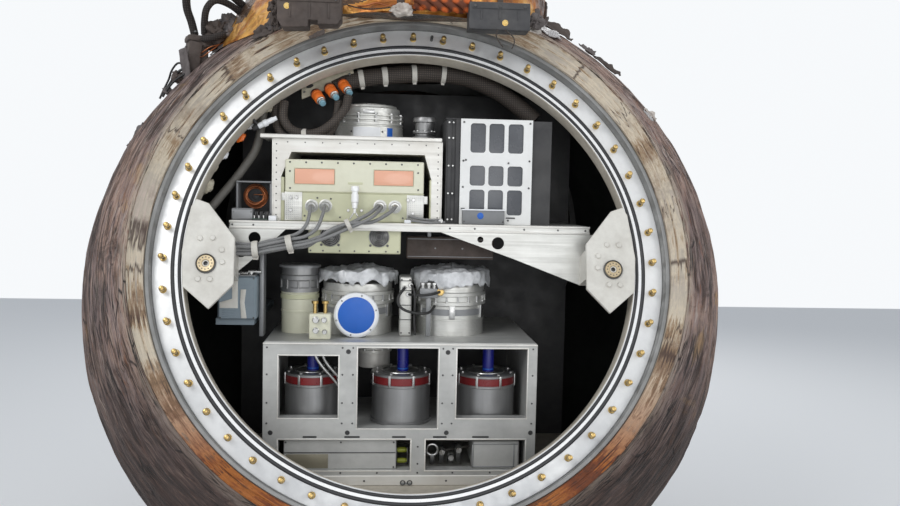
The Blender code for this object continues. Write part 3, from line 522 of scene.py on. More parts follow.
def lathe(outline, steps=48, closed=False):
    # turns (radius, height) points about Z
    bm = bmesh.new()
    points = [bm.verts.new((r, 0.0, h)) for r, h in outline]
    lines = [bm.edges.new(pair) for pair in zip(points, points[1:])]
    if closed:
        lines.append(bm.edges.new((points[-1], points[0])))
    bmesh.ops.spin(bm, geom=points + lines, cent=(0, 0, 0), axis=(0, 0, 1), angle=math.tau, steps=steps, use_merge=True,
        use_duplicate=False)
    bmesh.ops.remove_doubles(bm, verts=bm.verts, dist=weld)
    bmesh.ops.recalc_face_normals(bm, faces=bm.faces)
    return bm


def platePart(outline, low, high, edge=0.0, segments=2):
    # a flat outline given thickness along Z
    bm = bmesh.new()
    face = bm.faces.new([bm.verts.new((x, y, low)) for x, y in outline])
    grown = bmesh.ops.extrude_face_region(bm, geom=[face])["geom"]
    bmesh.ops.translate(bm, vec=(0, 0, high - low), verts=[g for g in grown if isinstance(g, bmesh.types.BMVert)])
    bmesh.ops.recalc_face_normals(bm, faces=bm.faces)
    return rounded(bm, edge, segments)


def hoop(radius, thick, steps=48, sides=8):
    bm = bmesh.new()
    ring = bmesh.ops.create_circle(bm, segments=sides, radius=thick, matrix=Matrix.Translation((radius, 0, 0))
        @ Matrix.Rotation(math.pi / 2, 4, "X"))
    bmesh.ops.spin(bm, geom=ring["verts"] + bm.edges[:], cent=(0, 0, 0), axis=(0, 0, 1), angle=math.tau, steps=steps,
        use_merge=True, use_duplicate=False)
    bmesh.ops.remove_doubles(bm, verts=bm.verts, dist=weld)
    bmesh.ops.recalc_face_normals(bm, faces=bm.faces)
    return bm


def add(bm, part, places=(Matrix(),), index=0):
    # copies a part into a mesh at each place
    mesh = bpy.data.meshes.new("copying")
    for face in part.faces:
        face.material_index = index
    for place in places:
        part.to_mesh(mesh)
        mesh.transform(place)
        bm.from_mesh(mesh)
    bpy.data.meshes.remove(mesh)
    return bm


def build(name, bm, look, body=capsule, stands=(), sharp=35, merge=True):
    if merge:
        bmesh.ops.remove_doubles(bm, verts=bm.verts, dist=weld)
        bmesh.ops.recalc_face_normals(bm, faces=bm.faces)
    mesh = bpy.data.meshes.new(name)
    bm.to_mesh(mesh)
    bm.free()
    for one in look if isinstance(look, (list, tuple)) else [look]:
        mesh.materials.append(looks[one])
    for face in mesh.polygons:
        face.use_smooth = True
    mesh.set_sharp_from_angle(angle=math.radians(sharp))
    piece = bpy.data.objects.new(name, mesh)
    scene.collection.objects.link(piece)
    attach(piece, body)
    if stands:
        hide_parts(*stands)
    return piece


def dress(nodes, look):
    for name in nodes:
        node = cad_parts[name]
        if not node.material_slots:
            node.data.materials.append(looks[look])
        for holder in node.material_slots:
            holder.material = looks[look]


def screwHead(radius=0.004, tall=0.003, sides=12, socket=True):
    outline = [(0, 0), (radius, 0), (radius, tall * 0.65), (radius * 0.82, tall)]
    if socket:
        outline += [(radius * 0.45, tall), (radius * 0.40, tall * 0.45), (0, tall * 0.45)]
    else:
        outline += [(0, tall)]
    return lathe(outline, sides)


def hexBolt(radius=0.006, tall=0.005):
    bm = lathe([(0, 0), (radius, 0), (radius, tall * 0.9), (radius * 0.9, tall), (0, tall)], 6)
    return add(bm, lathe([(0, 0), (radius * 1.35, 0), (radius * 1.35, tall * 0.25), (0, tall * 0.25)], 16))


routing = dict(step=0.012, dense=12, fewest=15, most=38)


def smoothRoute(points):
    # points along a smooth curve through the given ones
    path = [Vector(p) for p in points]
    ends = [path[0] * 2 - path[1]] + path + [path[-1] * 2 - path[-2]]
    dense = []
    for a, b, c, d in zip(ends, ends[1:], ends[2:], ends[3:]):
        for k in range(routing["dense"]):
            t = k / routing["dense"]
            dense.append(0.5 * ((2 * b) + (c - a) * t + (2 * a - 5 * b + 4 * c - d) * t * t
                + (3 * b - a - 3 * c + d) * t ** 3))
    dense.append(path[-1])
    marks = [0.0]
    for p, q in zip(dense, dense[1:]):
        marks.append(marks[-1] + (q - p).length)
    total = marks[-1]
    count = max(routing["fewest"], min(routing["most"], round(total / routing["step"])))
    even, j = [], 0
    for k in range(count):
        want = total * k / (count - 1)
        while j < len(marks) - 2 and marks[j + 1] < want:
            j += 1
        share = (want - marks[j]) / max(1e-9, marks[j + 1] - marks[j])
        even.append(dense[j].lerp(dense[j + 1], min(1.0, share)))
    return even, total


def cable(name, points, thick, look):
    route, total = smoothRoute([Vector(p) + Vector((0, 0, ballHeight)) for p in points])
    data = bpy.data.curves.new(name, "CURVE")
    data.dimensions = "3D"
    data.bevel_depth = thick / 2
    data.bevel_resolution = 4
    data.use_fill_caps = True
    data.resolution_u = 4
    line = data.splines.new("BEZIER")
    line.bezier_points.add(len(route) - 1)
    for mark, where in zip(line.bezier_points, route):
        mark.co = where
        mark.handle_left_type = mark.handle_right_type = "AUTO"
    data.materials.append(looks[look])
    piece = bpy.data.objects.new(name, data)
    scene.collection.objects.link(piece)
    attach(piece, capsule)
    return piece


# heat shield
shield = dict(around=320, step=1.0, hullStep=4.0, endAngle=126.0, hullRadius=1.0, seatHeight=0.63996, edgeRadius=0.8383,
    rootRadius=0.7853, seam=0.0500, seamGap=0.0003, lump=0.0048, chip=0.0060, wellRadius=0.3013, wellFloor=0.5,
    fade=0.020, groundFade=0.015, skin=0.003)


def meridian(radius, first, last, step):
    count = max(2, round((last - first) / step))
    return [(radius * math.sin(math.radians(first + (last - first) * k / count)),
        radius * math.cos(math.radians(first + (last - first) * k / count))) for k in range(count + 1)]


def crustRelief(place, axisFrame):
    # height of the burnt surface at a point measured from the ball's centre
    local = axisFrame.to_3x3().inverted() @ place
    radius = math.hypot(local.x, local.y)
    around = Vector((local.x / radius * 2.4, local.y / radius * 2.4, (radius - local.z) * 11.0))
    strata = noise.fractal(around * 1.7, 0.8, 2.1, 5)
    lumps = noise.fractal(place * 6.0, 0.9, 2.0, 4)
    peel = noise.fractal(around * 0.9 + Vector((7.0, 3.0, 1.0)), 0.9, 2.0, 4)
    sunk = max(0.0, min(1.0, (peel - 0.10) * 9.0))
    return shield["lump"] * (0.6 * strata + 0.6 * lumps) - shield["chip"] * sunk


def bake(piece):
    # fixes the modifiers into the mesh
    graph = bpy.context.evaluated_depsgraph_get()
    graph.update()
    fresh = bpy.data.meshes.new_from_object(piece.evaluated_get(graph))
    old = piece.data
    piece.modifiers.clear()
    piece.data = fresh
    bpy.data.meshes.remove(old)


def cutBy(piece, tool, how="INTERSECT"):
    cut = piece.modifiers.new("cut", "BOOLEAN")
    cut.operation, cut.solver, cut.object = how, "EXACT", tool


def looseTool(bm):
    mesh = bpy.data.meshes.new("cutter")
    bm.to_mesh(mesh)
    bm.free()
    tool = bpy.data.objects.new("cutter", mesh)
    scene.collection.objects.link(tool)
    return tool


def makeShield():
    s = shield
    well = lathe([(0, s["wellFloor"]), (s["wellRadius"], s["wellFloor"]), (s["wellRadius"], 2.0), (0, 2.0)], 96)
    slide(well, collarX, 0, 0)
    wellTool = looseTool(well)
    for name, axisFrame, y0, y1, node in (("burntShieldFront", frontHatch, -2.0, s["seam"], "capsule_shell_front"),
            ("burntShieldRear", rearHatch, s["seam"] + s["seamGap"], 2.0, "capsule_shell_rear")):
        turn = axisFrame.to_3x3().to_4x4()
        edge = math.degrees(math.asin(s["edgeRadius"] / ballRadius))
        inside = math.degrees(math.asin(s["rootRadius"] / s["hullRadius"]))
        outer = meridian(ballRadius, edge, s["endAngle"], s["step"])
        inner = meridian(s["hullRadius"], inside, s["endAngle"], s["hullStep"])
        bm = lathe(outer + inner[::-1] + [(s["rootRadius"], s["seatHeight"]), (s["edgeRadius"], s["seatHeight"])],
            s["around"], closed=True)
        carry(bm, turn)
        piece = build(name, bm, ("char", "hull"), stands=(node,))
        half = looseTool(block(-2.0, 2.0, y0, y1, -ballHeight, collarPlane))
        cutBy(piece, half)
        cutBy(piece, wellTool, "DIFFERENCE")
        bake(piece)
        bpy.data.objects.remove(half, do_unlink=True)
        bm = bmesh.new()
        bm.from_mesh(piece.data)
        bmesh.ops.triangulate(bm, faces=[f for f in bm.faces if len(f.verts) > 4])
        axis = turn @ Vector((0, 0, 1))
        for vert in bm.verts:
            far = vert.co.length
            side = (vert.co - axis * vert.co.dot(axis)).length
            fade = min(1.0, max(0.0, (side - s["edgeRadius"] - 0.001) / s["fade"])) if vert.co.dot(axis) > 0 else 1.0
            fade *= min(1.0, max(0.0, (vert.co.z + ballHeight) / s["groundFade"]))
            if abs(far - ballRadius) < 0.002 and fade > 0:
                vert.co += vert.co.normalized() * crustRelief(vert.co, turn) * fade
        for face in bm.faces:
            face.material_index = 0 if face.calc_center_median().length > s["hullRadius"] + s["skin"] else 1
        slide(bm, 0, 0, ballHeight)
        bm.to_mesh(piece.data)
        bm.free()
        for face in piece.data.polygons:
            face.use_smooth = True
        piece.data.set_sharp_from_angle(angle=math.radians(40))
    bpy.data.objects.remove(wellTool, do_unlink=True)


# hatch rings
hatch = dict(steps=288, bore=0.692, flangeOut=0.785, lip=0.050, root=0.081, innerRoot=0.760, groove=0.006,
    seals=((0.6990, 0.7080), (0.7185, 0.7290)), sealProud=0.003, neck=(0.7853, 0.7997), neckTop=0.72996,
    band=(0.800, 0.838), bandLow=0.73796, bandTop=0.77596, seat=0.6403, studs=48, studCircle=0.752, firstStud=157.84,
    studPitch=7.5, dowelAt=9.62, dowelCircle=0.7525)


def makeHatchRings():
    h, top = hatch, faceHeight
    outline = [(h["bore"], top - h["lip"]), (h["bore"], top - 0.003), (h["bore"] + 0.001, top - 0.0008),
        (h["bore"] + 0.003, top)]
    for r0, r1 in h["seals"]:
        outline += [(r0 - 0.0008, top), (r0 - 0.0003, top - 0.0008), (r0 - 0.0003, top - h["groove"]),
            (r1 + 0.0003, top - h["groove"]), (r1 + 0.0003, top - 0.0008), (r1 + 0.0008, top)]
    outline += [(h["flangeOut"] - 0.002, top), (h["flangeOut"], top - 0.002), (h["flangeOut"], top - h["root"]),
        (h["innerRoot"], top - h["root"]), (h["innerRoot"], top - h["lip"])]
    bm = lathe(outline, h["steps"], closed=True)
    for face in bm.faces:
        mid = face.calc_center_median()
        r = math.hypot(mid.x, mid.y)
        if mid.z > top - 0.007 and 0.7085 < r < 0.7182:
            face.material_index = 1
        elif r < 0.6955 or mid.z < top - 0.045:
            face.material_index = 2
    carry(bm, frontHatch)
    build("hatchFlange", bm, ("flange", "strip", "liner"), stands=("hatch_flange",), sharp=28)
    for name, node, (r0, r1) in zip(("innerSeal", "outerSeal"), ("seal_inner", "seal_outer"), h["seals"]):
        low, high, mid = top - h["groove"] + 0.0003, top + h["sealProud"], (r0 + r1) / 2
        bm = lathe([(r0, low), (r0, high - 0.0035), (r0 + 0.0010, high - 0.0012), (mid - 0.0012, high - 0.0001),
            (mid + 0.0012, high - 0.0001), (r1 - 0.0010, high - 0.0012), (r1, high - 0.0035), (r1, low)], h["steps"],
            closed=True)
        carry(bm, frontHatch)
        build(name, bm, "seal", stands=(node,), sharp=60)
    r0, r1, high = h["neck"][0], h["neck"][1], h["neckTop"]
    bm = lathe([(r0, h["seat"]), (r0, high - 0.004), (r0 + 0.0012, high - 0.0012), (r0 + 0.004, high),
        (r1 - 0.003, high), (r1, high - 0.003), (r1, h["seat"])], h["steps"], closed=True)
    carry(bm, frontHatch)
    build("neckRing", bm, "neck", stands=("neck_ring",))


edgeBand = dict(steps=400, across=22, ridge=0.0022, crackAt=0.817, crack=0.0030, ragged=0.0035)


def makeEdgeBand():
    h, e = hatch, edgeBand
    r0, r1 = h["band"]
    slope = [(r0 + (r1 - r0) * k / e["across"], h["bandLow"] + (h["bandTop"] - h["bandLow"]) * k / e["across"])
        for k in range(e["across"] + 1)]
    bm = lathe([(r0, h["seat"])] + slope + [(r1, h["seat"])], e["steps"], closed=True)
    for vert in bm.verts:
        r = math.hypot(vert.co.x, vert.co.y)
        if vert.co.z < h["bandLow"] - 0.004 or not r0 + 0.0005 < r:
            continue
        around = Vector((vert.co.x / r * 3.0, vert.co.y / r * 3.0, (r - vert.co.z) * 30.0))
        along = Vector((vert.co.x / r * 9.0, vert.co.y / r * 9.0, r * 230.0))
        lift = e["ridge"] * noise.fractal(along, 0.8, 2.0, 3)
        drift = 0.003 * noise.noise(around)
        near = abs(r - e["crackAt"] - drift)
        open_ = max(0.0, min(1.0, 1.6 * noise.noise(around * 0.7 + Vector((2.0, 0, 5.0))) + 0.75))
        lift -= e["crack"] * open_ * max(0.0, 1.0 - near / 0.0026)
        if r > r1 - 0.004:
            lift += e["ragged"] * noise.fractal(around * 6.0, 0.8, 2.0, 3)
        vert.co.z += lift
    carry(bm, frontHatch)
    piece = build("layeredEdgeBand", bm, "strata", sharp=50)
    top = looseTool(block(-2, 2, -2, 2, -0.2, ballHeight + collarPlane))
    cutBy(piece, top)
    bake(piece)
    bpy.data.objects.remove(top, do_unlink=True)
    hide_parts("edge_band")


def makeStuds():
    h = hatch
    bm = bmesh.new()
    collar = lathe([(0, 0), (0.0108, 0), (0.0108, 0.0030), (0.0092, 0.0046), (0, 0.0046)], 18)
    pin = lathe([(0, 0.004), (0.0060, 0.004), (0.0060, 0.0185), (0.0050, 0.0198), (0, 0.0198)], 14)
    tip = lathe([(0, 0.0190), (0.0078, 0.0190), (0.0086, 0.0210), (0.0086, 0.0275), (0.0066, 0.0325), (0.0028, 0.0342),
        (0, 0.0342)], 16)
    places = []
    for k in range(h["studs"]):
        x, y = onRing(h["studCircle"], h["firstStud"] - h["studPitch"] * k)
        lean = Euler((0.06 * math.sin(k * 1.7), 0.06 * math.cos(k * 2.3), 0.4 * k)).to_matrix().to_4x4()
        places.append(frontHatch @ Matrix.Translation((x, y, faceHeight)) @ lean)
    add(bm, collar, places, 0)
    add(bm, pin, places, 1)
    add(bm, tip, places, 0)
    build("hatchStuds", bm, ("brass", "darkSteel"), merge=False)
    # the one bare dowel among them
    bm = bmesh.new()
    x, y = onRing(h["dowelCircle"], h["firstStud"] - h["studPitch"] * h["dowelAt"])
    place = frontHatch @ Matrix.Translation((x, y, faceHeight))
    add(bm, lathe([(0, 0), (0.0048, 0), (0.0048, 0.026), (0.0030, 0.029), (0, 0.029)], 14), (place,), 0)
    build("bareDowel", bm, "darkSteel", merge=False)


rear = dict(cover=0.779, seatBack=0.045, skin=1.040, gap=0.0003, step=1.2, skinStep=6.0, around=240, fade=0.02)


def makeRear():
    h, top, turn = hatch, faceHeight, rearHatch.to_3x3().to_4x4()
    ring = [(h["bore"], top - h["lip"]), (h["bore"], top), (h["flangeOut"], top),
        (h["flangeOut"], h["neckTop"] - 0.002), (h["flangeOut"] + 0.002, h["neckTop"]), (h["band"][0], h["neckTop"]),
        (h["band"][1], h["bandTop"]), (h["band"][1], h["seat"]), (h["flangeOut"], h["seat"]),
        (h["flangeOut"], top - h["root"]), (h["innerRoot"], top - h["root"]), (h["innerRoot"], top - h["lip"])]
    bm = lathe(ring, rear["around"], closed=True)
    carry(bm, turn)
    ringPiece = build("rearHatchRing", bm, "neck", stands=("rear_hatch_ring",))
    cover, skin, base = rear["cover"], rear["skin"], top + rear["gap"]
    seat = cover - rear["seatBack"]
    outer = meridian(ballRadius, 0.0, math.degrees(math.asin(cover / ballRadius)), rear["step"])
    inner = meridian(skin, 0.0, math.degrees(math.asin(seat / skin)), rear["skinStep"])
    bm = lathe(outer + [(cover, base), (seat, base)] + inner[::-1], rear["around"])
    for vert in bm.verts:
        r = math.hypot(vert.co.x, vert.co.y)
        if abs(vert.co.length - ballRadius) < 0.002 and 1e-4 < r:
            fade = min(1.0, (cover - r) / rear["fade"])
            vert.co += vert.co.normalized() * crustRelief(vert.co, Matrix()) * max(0.0, fade)
    carry(bm, turn)
    coverPiece = build("rearHatchCover", bm, "char", stands=("rear_hatch_cover",))
    half = looseTool(block(-2, 2, -2, 2, -1.3, collarPlane))
    for piece in (ringPiece, coverPiece):
        cutBy(piece, half)
        bake(piece)
        bm = bmesh.new()
        bm.from_mesh(piece.data)
        slide(bm, 0, 0, ballHeight)
        bm.to_mesh(piece.data)
        bm.free()
    bpy.data.objects.remove(half, do_unlink=True)


makeShield()
makeHatchRings()
makeEdgeBand()
makeStuds()
makeRear()
print("heat shield and hatch rings made")


def front(x, y, z):
    # frame on an upright face, Z towards the viewer, measured from the ball's centre
    return Matrix.Translation((x, y, z)) @ spun(90, "X")


def upright(x, y, z):
    return Matrix.Translation((x, y, z))


smallScrew, flatScrew = (0.0030, 0.0018, 10), (0.0030, 0.0016, 12)      # radius, height, sides


def screwsOn(bm, head, y, spots, index):
    add(bm, screwHead(*head), [front(x, y, z) for x, z in spots], index)


def scaled(rows, wide, tall=1.0):
    # an outline given in shares of a radius and a height
    return [(wide * r, tall * h) for r, h in rows]


def inner(name, bm, look, slot, body=capsule, stands=(), sharp=35, merge=False):
    slide(bm, 0, 0, ballHeight)
    return build(name, bm, look, body, stands, sharp, merge)


# cords: the rack's cables and hoses, from the ball's centre
# name, thickness, points
harness = (
    ("cableOne", 0.0115, ((-0.323, -0.536, 0.380), (-0.323, -0.552, 0.378), (-0.3235, -0.576, 0.360),
        (-0.333, -0.585, 0.322), (-0.360, -0.587, 0.294), (-0.400, -0.588, 0.281), (-0.450, -0.592, 0.268),
        (-0.500, -0.596, 0.257), (-0.560, -0.592, 0.262))),
    ("cableTwo", 0.0115, ((-0.279, -0.536, 0.381), (-0.279, -0.552, 0.379), (-0.283, -0.580, 0.355),
        (-0.300, -0.594, 0.312), (-0.335, -0.598, 0.286), (-0.385, -0.600, 0.275), (-0.440, -0.603, 0.263),
        (-0.495, -0.606, 0.251), (-0.560, -0.603, 0.252))),
    ("cableThree", 0.0120, ((-0.108, -0.536, 0.385), (-0.112, -0.552, 0.383), (-0.135, -0.576, 0.362),
        (-0.170, -0.582, 0.342), (-0.205, -0.585, 0.325), (-0.262, -0.590, 0.298), (-0.325, -0.594, 0.272),
        (-0.385, -0.596, 0.262), (-0.445, -0.599, 0.250), (-0.500, -0.602, 0.239), (-0.560, -0.598, 0.240))),
    ("cableFour", 0.0110, ((-0.100, -0.536, 0.381), (-0.101, -0.556, 0.378), (-0.125, -0.590, 0.352),
        (-0.165, -0.595, 0.330), (-0.205, -0.597, 0.312), (-0.265, -0.603, 0.285), (-0.328, -0.607, 0.264),
        (-0.387, -0.609, 0.2525), (-0.447, -0.611, 0.241), (-0.502, -0.612, 0.230), (-0.560, -0.606, 0.230))),
    ("cableFive", 0.0120, ((-0.056, -0.536, 0.382), (-0.057, -0.554, 0.380), (-0.080, -0.584, 0.360),
        (-0.130, -0.582, 0.334), (-0.200, -0.598, 0.329), (-0.262, -0.602, 0.304), (-0.325, -0.585, 0.257),
        (-0.386, -0.584, 0.249), (-0.446, -0.586, 0.237), (-0.500, -0.589, 0.227), (-0.560, -0.586, 0.229))),
)
# name, thickness, look, stiffness, points
hoses = (
    ("topHose", 0.058, "brownWrap", "stiff", ((-0.262, -0.372, 0.770), (-0.212, -0.353, 0.800), (-0.145, -0.348, 0.815),
        (-0.061, -0.343, 0.826), (0.024, -0.341, 0.834), (0.109, -0.335, 0.834), (0.194, -0.333, 0.822),
        (0.290, -0.342, 0.782), (0.360, -0.358, 0.732), (0.418, -0.372, 0.682))),
    ("loopHose", 0.029, "brownWrap", "medium", ((-0.420, -0.438, 0.716), (-0.423, -0.446, 0.690),
        (-0.421, -0.450, 0.660), (-0.398, -0.452, 0.628), (-0.352, -0.454, 0.613), (-0.303, -0.455, 0.622),
        (-0.258, -0.457, 0.655), (-0.222, -0.452, 0.700), (-0.2135, -0.4385, 0.740))),
    ("loopHoseTwo", 0.027, "brownWrap", "medium", ((-0.4450, -0.420, 0.716), (-0.4490, -0.430, 0.680),
        (-0.4400, -0.438, 0.630), (-0.4050, -0.440, 0.592), (-0.3550, -0.441, 0.582), (-0.3050, -0.440, 0.592),
        (-0.2660, -0.436, 0.630), (-0.2500, -0.430, 0.680), (-0.2450, -0.422, 0.725))),
    ("sideTube", 0.028, "tubeGrey", "stiff", ((-0.6680, -0.5400, 0.3400), (-0.640, -0.525, 0.366),
        (-0.606, -0.500, 0.412), (-0.572, -0.472, 0.460), (-0.540, -0.457, 0.508), (-0.513, -0.450, 0.552),
        (-0.499, -0.443, 0.600), (-0.493, -0.432, 0.650), (-0.488, -0.420, 0.690))),
    ("valveHose", 0.009, "blackHose", "medium", ((-0.020, -0.502, 0.118), (-0.022, -0.530, 0.118),
        (-0.040, -0.548, 0.095), (-0.038, -0.556, 0.068), (-0.012, -0.560, 0.050), (0.030, -0.556, 0.042),
        (0.062, -0.535, 0.044), (0.080, -0.500, 0.060))),
    ("valveLead", 0.007, "blackHose", "medium", ((0.000, -0.502, 0.128), (0.004, -0.524, 0.126), (0.012, -0.540, 0.104),
        (0.013, -0.546, 0.060), (0.012, -0.545, 0.015), (0.016, -0.540, -0.030))),
    ("fittingHose", 0.009, "blackHose", "medium", ((-0.008, -0.504, 0.098), (0.010, -0.534, 0.099),
        (0.040, -0.546, 0.100), (0.072, -0.540, 0.104), (0.096, -0.512, 0.108))),
)
# name, thickness, look, stiffness, lay, far end, points
topCords = (
    ("burntLoopOne", 0.027, "burntCloth", "medium", "loose", "object",
        ((-0.738, -0.290, 0.945), (-0.746, -0.305, 0.985), (-0.755, -0.335, 1.028), (-0.745, -0.368, 1.070),
        (-0.706, -0.376, 1.102), (-0.660, -0.350, 1.100), (-0.615, -0.295, 1.080), (-0.578, -0.240, 1.052))),
    ("burntLoopTwo", 0.023, "burntCloth", "medium", "loose", "object",
        ((-0.704, -0.300, 0.948), (-0.700, -0.322, 0.985), (-0.688, -0.342, 1.026), (-0.660, -0.335, 1.054),
        (-0.618, -0.290, 1.048), (-0.575, -0.238, 1.018))),
    ("burntBundle", 0.024, "burntCloth", "medium", "loose", "object",
        ((-0.705, -0.318, 0.930), (-0.676, -0.332, 0.930), (-0.640, -0.322, 0.944), (-0.606, -0.290, 0.968),
        (-0.570, -0.242, 0.990))),
    ("strayCableOne", 0.009, "blackHose", "limp", "loose", "bare", ((-0.760, -0.318, 0.830), (-0.778, -0.322, 0.822),
        (-0.800, -0.306, 0.806), (-0.818, -0.286, 0.786), (-0.836, -0.274, 0.762), (-0.850, -0.268, 0.738))),
    ("strayCableTwo", 0.007, "blackHose", "limp", "loose", "bare", ((-0.752, -0.322, 0.815), (-0.766, -0.334, 0.806),
        (-0.790, -0.330, 0.790), (-0.812, -0.306, 0.776), (-0.832, -0.286, 0.756))),
    ("strayCableThree", 0.007, "blackHose", "limp", "loose", "bare",
        ((-0.768, -0.310, 0.842), (-0.792, -0.300, 0.848), (-0.816, -0.282, 0.826), (-0.830, -0.268, 0.796),
        (-0.846, -0.262, 0.766), (-0.862, -0.258, 0.732))),
    ("copperWireOne", 0.004, "copper", "limp", "loose", "bare", ((-0.712, -0.322, 0.880), (-0.698, -0.337, 0.886),
        (-0.677, -0.338, 0.900), (-0.655, -0.322, 0.910), (-0.640, -0.304, 0.920))),
    ("copperWireTwo", 0.004, "copper", "limp", "loose", "bare", ((-0.714, -0.322, 0.868), (-0.700, -0.340, 0.868),
        (-0.682, -0.346, 0.880), (-0.664, -0.338, 0.896), (-0.652, -0.316, 0.912))),
    ("laceStrandOne", 0.021, "lacing", "limp", "loose", "object", "twist 0"),
    ("laceStrandTwo", 0.021, "lacing", "limp", "loose", "object", "twist 120"),
    ("laceStrandThree", 0.021, "lacing", "limp", "loose", "object", "twist 240"),
    ("boxWireOne", 0.004, "brownWrap", "limp", "loose", "bare", ((0.250, -0.620, 0.940), (0.246, -0.640, 0.928),
        (0.240, -0.668, 0.913), (0.244, -0.690, 0.893), (0.256, -0.706, 0.872))),
    ("boxWireTwo", 0.004, "brownWrap", "limp", "loose", "bare", ((0.272, -0.620, 0.940), (0.276, -0.638, 0.930),
        (0.292, -0.660, 0.912), (0.294, -0.684, 0.890), (0.284, -0.704, 0.868))),
    ("footWireOne", 0.005, "copper", "limp", "loose", "object", ((-0.185, -0.560, 1.006), (-0.160, -0.580, 1.004),
        (-0.125, -0.590, 1.012), (-0.090, -0.592, 1.004), (-0.060, -0.586, 1.012), (-0.040, -0.572, 1.010))),
    ("footWireTwo", 0.004, "burntCloth", "limp", "loose", "object",
        ((-0.215, -0.556, 1.010), (-0.185, -0.592, 0.995), (-0.140, -0.604, 0.990), (-0.095, -0.600, 0.996),
        (-0.058, -0.584, 1.004))),
)
twist = dict(start=(-0.006, -0.590, 1.018), end=(0.166, -0.578, 1.013), away=0.0127, turns=1.35, steps=16)
# name, thickness, points
smallLeads = (
    ("railLeadOne", 0.0080, ((-0.012, -0.528, 0.352), (0.004, -0.546, 0.350), (0.030, -0.552, 0.345),
        (0.062, -0.550, 0.343), (0.096, -0.532, 0.344))),
    ("railLeadTwo", 0.0080, ((-0.018, -0.530, 0.341), (0.002, -0.556, 0.3395), (0.032, -0.563, 0.3365),
        (0.066, -0.561, 0.3355), (0.104, -0.534, 0.3365))),
)
bayTubes = (
    ("bayTubeOne", 0.0095, ((-0.300, -0.590, -0.066), (-0.300, -0.592, -0.086), (-0.292, -0.590, -0.106),
        (-0.272, -0.584, -0.134), (-0.248, -0.578, -0.162), (-0.226, -0.574, -0.190))),
    ("bayTubeTwo", 0.0095, ((-0.276, -0.590, -0.066), (-0.276, -0.592, -0.088), (-0.266, -0.588, -0.112),
        (-0.246, -0.584, -0.138), (-0.226, -0.580, -0.160), (-0.206, -0.576, -0.180))),
)
lowLeads = (
    ("lowLeadOne", 0.008, ((-0.030, -0.470, -0.400), (0.004, -0.512, -0.392), (0.040, -0.536, -0.380),
        (0.085, -0.540, -0.372), (0.140, -0.520, -0.380), (0.212, -0.490, -0.392))),
    ("lowLeadTwo", 0.010, ((-0.030, -0.470, -0.425), (0.020, -0.505, -0.430), (0.075, -0.520, -0.428),
        (0.130, -0.505, -0.420), (0.212, -0.480, -0.412))),
)


def twistedLine(phase):
    # one strand of a twisted bundle between two points
    t = twist
    first, last = Vector(t["start"]), Vector(t["end"])
    turn = (last - first).to_track_quat("Z", "Y").to_matrix()
    spots = []
    for k in range(t["steps"] + 1):
        angle = phase + math.tau * t["turns"] * k / t["steps"]
        off = turn @ Vector((math.cos(angle), math.sin(angle), 0)) * t["away"]
        spots.append(tuple(first.lerp(last, k / t["steps"]) + off))
    return spots


def makeCords():
    for name, thick, points in harness:
        cable(name, points, thick, "braid")
    for name, thick, look, stiff, points in hoses:
        cable(name, points, thick, look)
    for name, thick, points in smallLeads:
        cable(name, points, thick, "braid")
    for name, thick, points in lowLeads:
        cable(name, points, thick, "tubeGrey")
    for name, thick, points in bayTubes:
        cable(name, points, thick, "steel")
    for name, thick, look, stiff, lay, end, points in topCords:
        if isinstance(points, str):
            points = twistedLine(math.radians(float(points.split()[1])))
        cable(name, points, thick, look)


# where, towards, radius, width: white ties round the cables
ties = (
    ((-0.381, -0.596, 0.2640), (-0.440, -0.598, 0.2500), 0.0265, 0.013),
    ((-0.389, -0.596, 0.2620), (-0.440, -0.598, 0.2500), 0.0255, 0.010),
    ((-0.486, -0.598, 0.2430), (-0.530, -0.600, 0.2390), 0.0265, 0.014),
    ((-0.494, -0.598, 0.2420), (-0.530, -0.600, 0.2390), 0.0255, 0.009),
    ((-0.203, -0.590, 0.3240), (-0.240, -0.594, 0.3060), 0.0195, 0.014),
    ((-0.352, -0.448, 0.5980), (-0.310, -0.449, 0.6030), 0.0315, 0.016),
)
hoseTieRadius = 0.0302
hoseTies = ((0.160, 0.018), (0.255, 0.019), (0.415, 0.017), (0.550, 0.016))


def tieRing(radius, wide):
    bm = lathe([(radius - 0.0012, -wide / 2), (radius, -wide / 2 + 0.001), (radius + 0.0006, 0),
        (radius, wide / 2 - 0.001), (radius - 0.0012, wide / 2)], 28, closed=True)
    for vert in bm.verts:
        vert.co.x *= 1.0 + 0.05 * noise.noise(vert.co * 60.0)
    knot = block(-0.005, 0.005, -0.0040, 0.0040, -wide * 0.35, wide * 0.35, 0.0015)
    return add(bm, knot, (Matrix.Translation((0, -radius - 0.002, 0)),))


def makeTies():
    bm = bmesh.new()
    for where, towards, radius, wide in ties:
        add(bm, tieRing(radius, wide), (lineUp(Vector(where), Vector(towards)),))
    route = smoothRoute(hoses[0][4])[0]
    for share, wide in hoseTies:
        k = int(share * (len(route) - 2))
        add(bm, tieRing(hoseTieRadius, wide), (lineUp(route[k], route[k + 1]),))
    inner("cableTies", bm, "tape", "white_plastic")


makeCords()
makeTies()
print("cables, hoses and ties made")


# parachute collar on top
collar = dict(x=collarX, out=0.560, wall=0.016, top=1.130, base=0.9903, wellIn=0.285, wellLow=0.875, rows=14, steps=288,
    crumple=0.0070)


